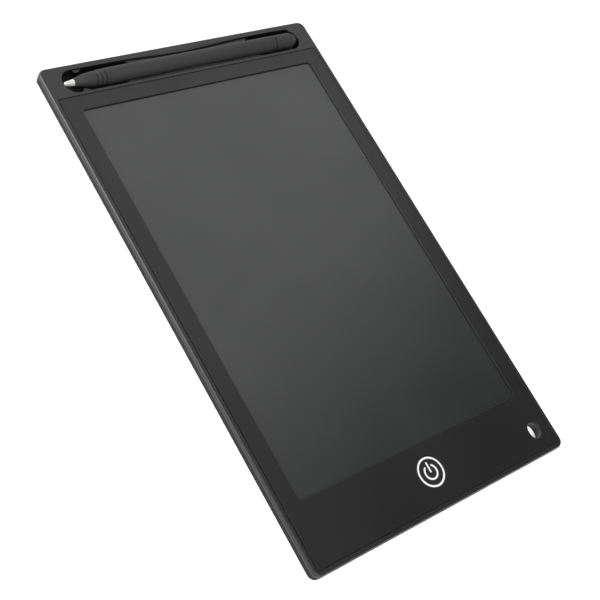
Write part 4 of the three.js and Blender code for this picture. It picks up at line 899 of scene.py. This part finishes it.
# The tongues of the door reach past its plate on the right.
DOOR_PLATE_RIGHT = -22.3
door_plate = rounded_rectangle(door_left, DOOR_PLATE_RIGHT, door_bottom, door_top, DOOR_RADIUS)
cover_keep = prism(
    "cover_keep",
    body_outline,
    [
        *low_rim(SKIN, BOTTOM_ROUND, -SKIN - BOTTOM_ROUND),
        *rim(PARTING - PARTING_GAP, PARTING_ROUND, -SKIN, -1),
        (drawn_in, PARTING + OVERRUN),
    ],
)
door_mouth = prism(
    "door_mouth",
    door_plate,
    [
        (DOOR_GAP + MOUTH_ROUND, -OVERRUN),
        *low_rim(0, MOUTH_ROUND, DOOR_GAP),
        (DOOR_GAP + SKIN, DOOR_THICKNESS),
    ],
)
rear_cover = shaped(
    "case_rear_cover",
    copy_of("rear_cover", "cover_base"),
    keep=[cover_keep],
    cut=[door_mouth, *ledge_cutters(), hole_cutter()],
)
dressed(rear_cover, "tablet", "cover_plastic", "rear_cover")

# %% [markdown]
# ## Battery door and lock slider
#
# Both are small mouldings on the back. The door has a chamfer where its tongues hook in, so that it can tilt
# out, and a ring inside that steadies the cell. Its outer rim is eased by a prism that is drawn in only at
# the outside face. The slider is a grooved knob on a thin flange, and a fine bevel breaks its edges.

# %% Shape the battery door and the lock slider
DOOR_ROUND = 0.25
TONGUE_ROOM = 3.0
KNOB_BEVEL = 0.06
KNOB_BEVEL_STEPS = 2

door_keep = prism(
    "door_keep",
    door_plate,
    [
        *low_rim(SKIN, DOOR_ROUND, -SKIN - DOOR_ROUND),
        (TONGUE_ROOM, DOOR_ROUND + 2 * SKIN),
        (TONGUE_ROOM, face_height),
    ],
)
battery_door = shaped("back_battery_door", copy_of("battery_door", "door_base"), keep=[door_keep])
dressed(battery_door, "door", "cover_plastic", "battery_door")

slider_base = copy_of("lock_slider", "slider_base")
bevel = slider_base.modifiers.new("soft_edges", "BEVEL")
bevel.width, bevel.segments, bevel.limit_method = KNOB_BEVEL * MM, KNOB_BEVEL_STEPS, "ANGLE"
lock_slider = plain_mesh("back_lock_slider", slider_base)
dressed(lock_slider, "slider", "button_plastic", "lock_slider")

# %% [markdown]
# ## Turned parts
#
# The stylus, the button, the coin cell and the screws are all round about an axis, and each follows one rule:
# a radius for every place along that axis. In Geometry Nodes this is a line of points that carry their
# radius, made into a curve and swept with a circle that is scaled at each point. A Screw modifier could turn
# a profile too. The tree takes the number of sides and the finish, so that it serves every turned part.

# %% The tree that turns a profile
GEOMETRY, INTEGER = "NodeSocketGeometry", "NodeSocketInt"
OBJECT, MATERIAL = "NodeSocketObject", "NodeSocketMaterial"


def end_tree(tree, geometry, finish, result):
    """The last nodes of a Geometry Nodes tree: Realize Instances and Set Material."""
    real = add_node(tree, "GeometryNodeRealizeInstances", {"Geometry": geometry})
    coated = {"Geometry": real.outputs[0], "Material": finish}
    tree.links.new(add_node(tree, "GeometryNodeSetMaterial", coated).outputs[0], result)
    print(tree.name, "nodes:", len(tree.nodes))


def carried(tree, attribute):
    """Output with a number that each point of a line carries."""
    kind = "GeometryNodeInputNamedAttribute"
    return add_node(tree, kind, {"Name": attribute}, data_type="FLOAT").outputs["Attribute"]


turning, taken, given = new_group(
    "turned_body",
    "GeometryNodeTree",
    {"Axis line": (GEOMETRY, None), "Sides": (INTEGER, 96), "Finish": (MATERIAL, None)},
    {"Body": (GEOMETRY, None)},
)
axis_curve = add_node(turning, "GeometryNodeMeshToCurve", {"Mesh": taken["Axis line"]})
around = {"Resolution": taken["Sides"], "Radius": 1.0}
swept = add_node(
    turning,
    "GeometryNodeCurveToMesh",
    {
        "Curve": axis_curve.outputs[0],
        "Profile Curve": add_node(turning, "GeometryNodeCurvePrimitiveCircle", around).outputs["Curve"],
        "Scale": carried(turning, "turned_radius"),
        "Fill Caps": True,
    },
)
end_tree(turning, swept.outputs[0], taken["Finish"], given["Body"])

# %% Profiles, and a function that turns one
APART = 0.002  # upright walls lean by this much, so that the line of points never turns back
EASE_SHARES = (0.25, 0.5, 0.75)
LEG_SHARE = 0.45
ROUND_SIDES = 128


def eased(profile, cut):
    """Profile of (radius, along) with each corner rounded, from cut before it to cut after it."""
    rounded = [profile[0]]
    for before, corner, after in zip(profile, profile[1:], profile[2:]):
        ends = []
        for far in (before, after):
            leg = Vector(far) - Vector(corner)
            ends.append(Vector(corner) + leg.normalized() * min(cut, leg.length * LEG_SHARE))
        first, last = ends
        rounded.append(tuple(first))
        for share in EASE_SHARES:
            line = first.lerp(Vector(corner), share)
            rounded.append(tuple(line.lerp(Vector(corner).lerp(last, share), share)))
        rounded.append(tuple(last))
    return [*rounded, profile[-1]]


def line_object(name, points, attribute, values, closed=False):
    """Line through points in millimetres, with one attribute in metres at each point."""
    ends = [(i, i + 1) for i in range(len(points) - 1)] + ([(len(points) - 1, 0)] if closed else [])
    line = mesh_piece(name, points, [], ends)
    numbers = line.data.attributes.new(attribute, "FLOAT", "POINT")
    numbers.data.foreach_set("value", [value * MM for value in values])
    return line


def grown_by(tree, name, base, inputs):
    """Plain mesh object that a Geometry Nodes tree makes from a base object."""
    step = base.modifiers.new(tree.name, "NODES")
    step.node_group = tree
    for item in tree.interface.items_tree:
        if item.in_out == "INPUT" and item.name in inputs:
            step[item.identifier] = inputs[item.name]
    return plain_mesh(name, base)


def turned(name, profile, place, slot_name, sides=ROUND_SIDES):
    """Body turned from a profile of (radius, along). place maps a distance along the axis to a point."""
    along, points, radii = -math.inf, [], []
    for radius, position in profile:
        along = max(position, along + APART)
        points.append(place(along))
        radii.append(radius)
    line = line_object(name + "_line", points, "turned_radius", radii)
    return grown_by(turning, name, line, {"Sides": sides, "Finish": FINISHES[slot_name]})


print("points that ease a corner:", len(EASE_SHARES) + 2)

# %% [markdown]
# ## Stylus
#
# The pen has four mouldings: a pale nib, a nose cone with three fine grooves, a plain barrel, and an end cap
# with a run of grooves and a blunt taper. Spigots join them, and at each joint a hairline gap shows. Only the
# outlines differ, so each is a profile for the turning tree. A tree for each would repeat the work.

# %% Turn the stylus
(pen_start, _, _), _ = box_of("stylus_tip")
(nose_start, _, _), _ = box_of("stylus_nose_cone")
(_, barrel_near, barrel_low), (_, barrel_far, barrel_high) = box_of("stylus_barrel")
(cap_low, _, _), (pen_end, _, _) = box_of("stylus_end_cap")
pen_y = (barrel_near + barrel_far) / 2
pen_z = (barrel_low + barrel_high) / 2
PEN_RADIUS = 3.45
PEN_EASE = 0.06
PEN_JOINT_GAP = 0.05
NIB_GAP = 0.12
BORE = 2.55
SPIGOT = 2.45
SPIGOT_LENGTH = 5.0
NOSE_GROOVE = (0.75, 0.7)  # width and depth
GROOVE = (0.65, 0.4)
FINE_GROOVE = (0.55, 0.22)
NIB_RADIUS = 1.4
NIB_POINT = 0.9
NIB_POINT_STEPS = 8
NIB_SHANK = 0.95
NIB_SHANK_LENGTH = 4.0
MOUTH_RADIUS = 1.7
NOSE_LENGTH = 15.5
NOSE_SHARES = (
    (0, 0), (0.07, 0.05), (0.18, 0.34), (0.28, 0.55), (0.47, 0.7), (0.67, 0.86), (0.8, 0.93), (0.97, 1),
)
NOSE_GROOVE_SHARES = (0.626, 0.755, 0.884)
NOSE_BORE = 1.05
BARREL_GROOVE = -2.4  # this place and those in the next line count from the start of the cap
CAP_GROOVES = ((1.7, GROOVE), (3.9, FINE_GROOVE), (6.2, FINE_GROOVE), (8.4, FINE_GROOVE))
CAP_SHAPE = ((3.45, -5.1), (2.35, -2.1), (1.7, -1.65), (0.9, -1.35))  # radius, and place from the pen's end
CAP_END = 1.25
POLE = 0.03  # radius that stands for none at the end of a profile


def on_pen_axis(along):
    return (along, pen_y, pen_z)


def pen_groove(radius, along, width, depth):
    return [(radius, along - width / 2), (radius - depth, along), (radius, along + width / 2)]


def radius_at(profile, place):
    """Radius of a profile at a place between two of its points."""
    for (radius_before, before), (radius_after, after) in zip(profile, profile[1:]):
        if before <= place <= after:
            return radius_before + (radius_after - radius_before) * (place - before) / (after - before)
    return profile[-1][0]


mouth = nose_start
nose_end = mouth + NOSE_LENGTH
cap_start = cap_low + SPIGOT_LENGTH
shank_end = mouth + NIB_SHANK_LENGTH
point = [
    (max(NIB_POINT * math.sin(turn), POLE), pen_start + NIB_POINT * (1 - math.cos(turn)))
    for turn in (math.pi / 2 * i / NIB_POINT_STEPS for i in range(NIB_POINT_STEPS + 1))
]
nib_back = mouth - NIB_GAP
nib = [
    *point,
    *eased([(NIB_POINT, point[-1][1]), (NIB_RADIUS, nib_back), (NIB_SHANK, nib_back)], PEN_EASE)[1:],
    (NIB_SHANK, shank_end),
]
taper = [
    (MOUTH_RADIUS + (PEN_RADIUS - MOUTH_RADIUS) * gain, mouth + NOSE_LENGTH * share)
    for share, gain in NOSE_SHARES
]
groove_places = [mouth + NOSE_LENGTH * share for share in NOSE_GROOVE_SHARES]
nose_grooves = [
    step for place in groove_places for step in pen_groove(radius_at(taper, place), place, *NOSE_GROOVE)
]
nose = [
    (NOSE_BORE, mouth - APART),
    *sorted([*taper, *nose_grooves], key=lambda step: step[1]),
    (PEN_RADIUS, nose_end),
    (SPIGOT, nose_end),
    (SPIGOT, nose_end + SPIGOT_LENGTH),
]
barrel_start, barrel_end = nose_end + PEN_JOINT_GAP, cap_start - PEN_JOINT_GAP
groove_width, groove_depth = GROOVE
barrel = [
    (BORE, barrel_start),
    (PEN_RADIUS, barrel_start),
    *pen_groove(PEN_RADIUS, cap_start + BARREL_GROOVE, *GROOVE),
    (PEN_RADIUS, barrel_end - groove_width),
    (PEN_RADIUS - groove_depth, barrel_end - groove_width / 2),
    (PEN_RADIUS - groove_depth, barrel_end),
    (BORE, barrel_end),
]
cap = [
    (SPIGOT, cap_low),
    (SPIGOT, cap_start),
    (PEN_RADIUS, cap_start),
    *(step for along, cut in CAP_GROOVES for step in pen_groove(PEN_RADIUS, cap_start + along, *cut)),
    *((radius, pen_end + along) for radius, along in CAP_SHAPE),
    (POLE, pen_end - CAP_END),
]
for name, profile, bore, slot_name, node in (
    ("pen_tip", nib, (), "nib_plastic", "stylus_tip"),
    ("pen_nose_cone", eased(nose, PEN_EASE), (NOSE_BORE, mouth - OVERRUN, shank_end), "stylus_plastic",
     "stylus_nose_cone"),
    ("pen_barrel", eased(barrel, PEN_EASE), (BORE, pen_start, pen_end), "stylus_plastic", "stylus_barrel"),
    ("pen_end_cap", eased(cap, PEN_EASE), (), "stylus_plastic", "stylus_end_cap"),
):
    outer = turned(name + "_outer", profile, on_pen_axis, slot_name)
    bores = [(bore[0], end) for end in bore[1:]]
    cuts = [turned("bore", bores, on_pen_axis, slot_name)] if bores else []
    dressed(shaped(name, outer, cut=cuts), "pen", slot_name, node, axes="x")

# %% [markdown]
# ## Erase button
#
# The button is a round cap with a flange under the faceplate, which keeps it from falling out, and a short
# stem that meets the switch. Its white ring and power pictogram are inlaid, so they never wear off. Each of
# them is a line of even width along a path. A second tree follows the path with a flat ribbon and gives it
# thickness. The same tree, a little wider, cuts the channels for the inlays. A texture would have no relief.

# %% The tree that lays a printed line along a path
MERGE = 1e-7

printing, taken, given = new_group(
    "printed_line",
    "GeometryNodeTree",
    {"Path": (GEOMETRY, None), "Thickness": (FLOAT, 0.0003), "Finish": (MATERIAL, None)},
    {"Line": (GEOMETRY, None)},
)
path_curve = add_node(printing, "GeometryNodeMeshToCurve", {"Mesh": taken["Path"]})
upright = add_node(
    printing, "GeometryNodeSetCurveNormal", {"Curve": path_curve.outputs[0]}, mode="Z_UP"
)
across = add_node(
    printing, "GeometryNodeCurvePrimitiveLine", {"Start": (-1, 0, 0), "End": (1, 0, 0)}, mode="POINTS"
)
ribbon = {
    "Curve": upright.outputs[0],
    "Profile Curve": across.outputs[0],
    "Scale": carried(printing, "half_width"),
}
ribbon = add_node(printing, "GeometryNodeCurveToMesh", ribbon).outputs[0]
raised = {"Mesh": ribbon, "Offset": (0, 0, 1), "Offset Scale": taken["Thickness"], "Individual": False}
raised = add_node(printing, "GeometryNodeExtrudeMesh", raised, mode="FACES")
underside = add_node(printing, "GeometryNodeFlipFaces", {"Mesh": ribbon})
both = add_node(printing, "GeometryNodeJoinGeometry", {0: raised.outputs["Mesh"]})
printing.links.new(underside.outputs[0], both.inputs[0])
closed = {"Geometry": both.outputs[0], "Distance": MERGE}
closed = add_node(printing, "GeometryNodeMergeByDistance", closed)
end_tree(printing, closed.outputs[0], taken["Finish"], given["Line"])

# %% Paths of the ring, the arc and the bar
CAP_TOP = 4.6
CAP_RADIUS = 6.5
RING_RADIUS = 5.85
RING_WIDTH = 0.8
LINE_WIDTH = 0.78
ARC_RADIUS = 2.925
ARC_OPENING = math.radians(37)
BAR_LOW, BAR_HIGH = -0.24, 4.25
INLAY_DEPTH = 0.3
INLAY_GAP = 0.05
INLAY_PROUD = 0.02
RING_POINTS = 128
ROUND_END_STEPS = 10
MIDDLE_STEPS = 48


def ring_path(grow):
    """Points round the ring, half its width at each, and whether it is closed."""
    turns = [2 * math.pi * i / RING_POINTS for i in range(RING_POINTS)]
    points = [(RING_RADIUS * math.cos(t), RING_RADIUS * math.sin(t)) for t in turns]
    return points, [RING_WIDTH / 2 + grow] * RING_POINTS, True


def open_path(place, length, grow):
    """The same for a line with round ends. place maps a distance along its middle to a point."""
    half = LINE_WIDTH / 2 + grow
    turns = [math.pi / 2 * i / ROUND_END_STEPS for i in range(ROUND_END_STEPS)]
    start = [(-half * math.cos(t), max(half * math.sin(t), POLE)) for t in turns]
    middle = [(length * i / MIDDLE_STEPS, half) for i in range(MIDDLE_STEPS + 1)]
    end = [(length - along, width) for along, width in reversed(start)]
    steps = [*start, *middle, *end]
    return [place(along) for along, _ in steps], [width for _, width in steps], False


def arc_path(grow):
    start, sweep = math.pi / 2 + ARC_OPENING, 2 * math.pi - 2 * ARC_OPENING

    def place(along):
        turn = start + along / ARC_RADIUS
        return (ARC_RADIUS * math.cos(turn), ARC_RADIUS * math.sin(turn))

    return open_path(place, sweep * ARC_RADIUS, grow)


def bar_path(grow):
    start = BAR_LOW + LINE_WIDTH / 2
    return open_path(lambda along: (0.0, start + along), BAR_HIGH - BAR_LOW - LINE_WIDTH, grow)


def printed(name, path, grow, low, high):
    """Flat line along a path on the button, between two heights."""
    points, widths, is_closed = path(grow)
    places = [(x, BUTTON_Y + y, low) for x, y in points]
    line = line_object(name + "_path", places, "half_width", widths, is_closed)
    finish = FINISHES["white_print"]
    return grown_by(printing, name, line, {"Thickness": (high - low) * MM, "Finish": finish})


inlay_floor = CAP_TOP - INLAY_DEPTH
channels = []
for name, path, node in (
    ("button_ring_inlay", ring_path, "button_ring"),
    ("button_arc_inlay", arc_path, "button_symbol_arc"),
    ("button_bar_inlay", bar_path, "button_symbol_bar"),
):
    inlay = printed(name, path, 0, inlay_floor, CAP_TOP + INLAY_PROUD)
    dressed(inlay, "button", "white_print", node, axes="z")
    channel = printed(name + "_channel", path, INLAY_GAP, inlay_floor, CAP_TOP + OVERRUN)
    channels.append(smoothed(channel, axes="z"))

# %% Turn the button's cap
FLANGE_RADIUS = 7.55
FLANGE_LOW, FLANGE_HIGH = 3.75, 4.25
STEM_RADIUS = 1.6
STEM_LOW = 3.65
CAP_EDGE = 0.2
CAP_EASE = 0.08

cap_profile = [
    (STEM_RADIUS, STEM_LOW),
    (STEM_RADIUS, FLANGE_LOW),
    (FLANGE_RADIUS, FLANGE_LOW),
    (FLANGE_RADIUS, FLANGE_HIGH),
    (CAP_RADIUS, FLANGE_HIGH),
    (CAP_RADIUS, CAP_TOP - CAP_EDGE),
    (CAP_RADIUS - CAP_EDGE, CAP_TOP - APART),
    (POLE, CAP_TOP),
]
cap_body = turned(
    "cap_body", eased(cap_profile, CAP_EASE), lambda along: (0, BUTTON_Y, along), "button_plastic"
)
erase_button = shaped("button_cap", cap_body, cut=channels)
dressed(erase_button, "button", "button_plastic", "erase_button", axes="z")

# %% [markdown]
# ## Coin cell and screws
#
# The cell is a can with a rounded edge and a smaller lid, crimped at the step, and a plus sign stamped in the
# face towards the door. The screws are small, with a cross recess. The two that hold the board are one screw
# set down at two points, which is what Instance on Points is for. Two separate copies could drift apart.

# %% The coin cell
CELL_X = -34.0
CELL_Y = -99.4
CELL_RADIUS = 10.0
CELL_LOW, CELL_HIGH = 1.25, 2.85
CELL_SHOULDER = 2.4
CELL_EDGE = 0.22
LID_RADIUS = 8.8
CRIMP = 0.15
PLUS_REACH = 2.2
PLUS_WIDTH = 0.5
PLUS_DEPTH = 0.06
STROKE_ROUND = 0.45


def cross_cutters(x, y, half_long, half_wide, low, high):
    """Two slim rounded cutters, one for each stroke of a cross."""
    return [
        prism(
            "stroke",
            rounded_rectangle(x - dx, x + dx, y - dy, y + dy, half_wide * STROKE_ROUND),
            [(0, low), (0, high)],
        )
        for dx, dy in ((half_long, half_wide), (half_wide, half_long))
    ]


cell_profile = [
    (POLE, CELL_LOW),
    (CELL_RADIUS - CELL_EDGE, CELL_LOW + APART),
    (CELL_RADIUS, CELL_LOW + CELL_EDGE),
    (CELL_RADIUS, CELL_SHOULDER - CRIMP),
    (CELL_RADIUS - CRIMP, CELL_SHOULDER),
    (LID_RADIUS, CELL_SHOULDER),
    (LID_RADIUS, CELL_HIGH - CRIMP),
    (LID_RADIUS - CRIMP, CELL_HIGH - APART),
    (POLE, CELL_HIGH),
]
cell_body = turned(
    "cell_body", eased(cell_profile, CRIMP), lambda along: (CELL_X, CELL_Y, along), "cell_steel"
)
coin_cell = shaped(
    "inside_coin_cell",
    cell_body,
    cut=cross_cutters(
        CELL_X, CELL_Y, PLUS_REACH, PLUS_WIDTH / 2, CELL_LOW - OVERRUN, CELL_LOW + PLUS_DEPTH
    ),
)
dressed(coin_cell, "tablet", "cell_steel", "coin_cell", axes="z")

# %% The tree that sets one screw down at several points
setting, taken, given = new_group(
    "set_in_places",
    "GeometryNodeTree",
    {"Places": (GEOMETRY, None), "Screw": (OBJECT, None), "Finish": (MATERIAL, None)},
    {"Screws": (GEOMETRY, None)},
)
one = add_node(setting, "GeometryNodeObjectInfo", {"Object": taken["Screw"], "As Instance": True})
many = {"Points": taken["Places"], "Instance": one.outputs["Geometry"]}
many = add_node(setting, "GeometryNodeInstanceOnPoints", many)
end_tree(setting, many.outputs[0], taken["Finish"], given["Screws"])

# %% The door screw and the two board screws
HEAD_RADIUS = 1.5
SHANK_RADIUS = 0.75
POINT_TAPER = 0.3
CROSS_REACH = 0.9
CROSS_WIDTH = 0.4
CROSS_DEPTH = 0.25
HEAD_EASE = 0.15
SCREW_SIDES = 64
DOOR_SCREW = (-49.4, -99.4)
DOOR_SCREW_LOW, DOOR_SCREW_HIGH = 0.1, 2.7
DOOR_SCREW_HEAD = 0.5
BOARD_SCREWS = ((-13.0, -92.4), (31.4, -92.4))
BOARD_SCREW_LOW, BOARD_SCREW_HIGH = 0.6, 2.7
BOARD_SCREW_HEAD = 0.6


def screw(name, x, y, head_face, shank_end, head):
    """Screw with its head face at one height and the end of its shank at another."""
    down = 1 if head_face > shank_end else -1
    profile = [
        (SHANK_RADIUS - POINT_TAPER, shank_end),
        (SHANK_RADIUS, shank_end + down * POINT_TAPER),
        (SHANK_RADIUS, head_face - down * head),
        (HEAD_RADIUS, head_face - down * head),
        (HEAD_RADIUS, head_face - down * HEAD_EASE),
        (HEAD_RADIUS - HEAD_EASE, head_face - down * APART),
        (POLE, head_face),
    ]
    body = turned(
        name + "_body",
        eased(profile if down > 0 else profile[::-1], HEAD_EASE / 2),
        lambda along: (x, y, along),
        "screw_steel",
        SCREW_SIDES,
    )
    ends = sorted((head_face - down * CROSS_DEPTH, head_face + down * OVERRUN))
    return shaped(name, body, cut=cross_cutters(x, y, CROSS_REACH, CROSS_WIDTH / 2, *ends))


door_screw = screw("back_door_screw", *DOOR_SCREW, DOOR_SCREW_LOW, DOOR_SCREW_HIGH, DOOR_SCREW_HEAD)
dressed(door_screw, "door_screw", "screw_steel", "battery_door_screw", axes="z")

one_screw = screw("one_screw", 0, 0, BOARD_SCREW_HIGH, BOARD_SCREW_LOW, BOARD_SCREW_HEAD)
places = mesh_piece("screw_places", [(x, y, 0) for x, y in BOARD_SCREWS], [])
board_screws = grown_by(
    setting, "inside_board_screws", places, {"Screw": one_screw, "Finish": FINISHES["screw_steel"]}
)
bpy.data.objects.remove(one_screw)
dressed(board_screws, "tablet", "screw_steel", "board_screw_1", "board_screw_2", axes="z")

# %% Finishes for the pieces that keep their CAD shape
for name, slot_name in ((s["node"], s["material_slot"]) for s in frame["record"]["subparts"]):
    node = frame["nodes"][name]
    node.data.materials.clear()
    node.data.materials.append(FINISHES[slot_name])

# %% Sizes
size = {
    "cad": [list(corner) for corner in cad_box],
    "visual": [list(corner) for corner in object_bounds()],
}
print("visual box, mm:", [[round(c / MM, 2) for c in corner] for corner in size["visual"]])
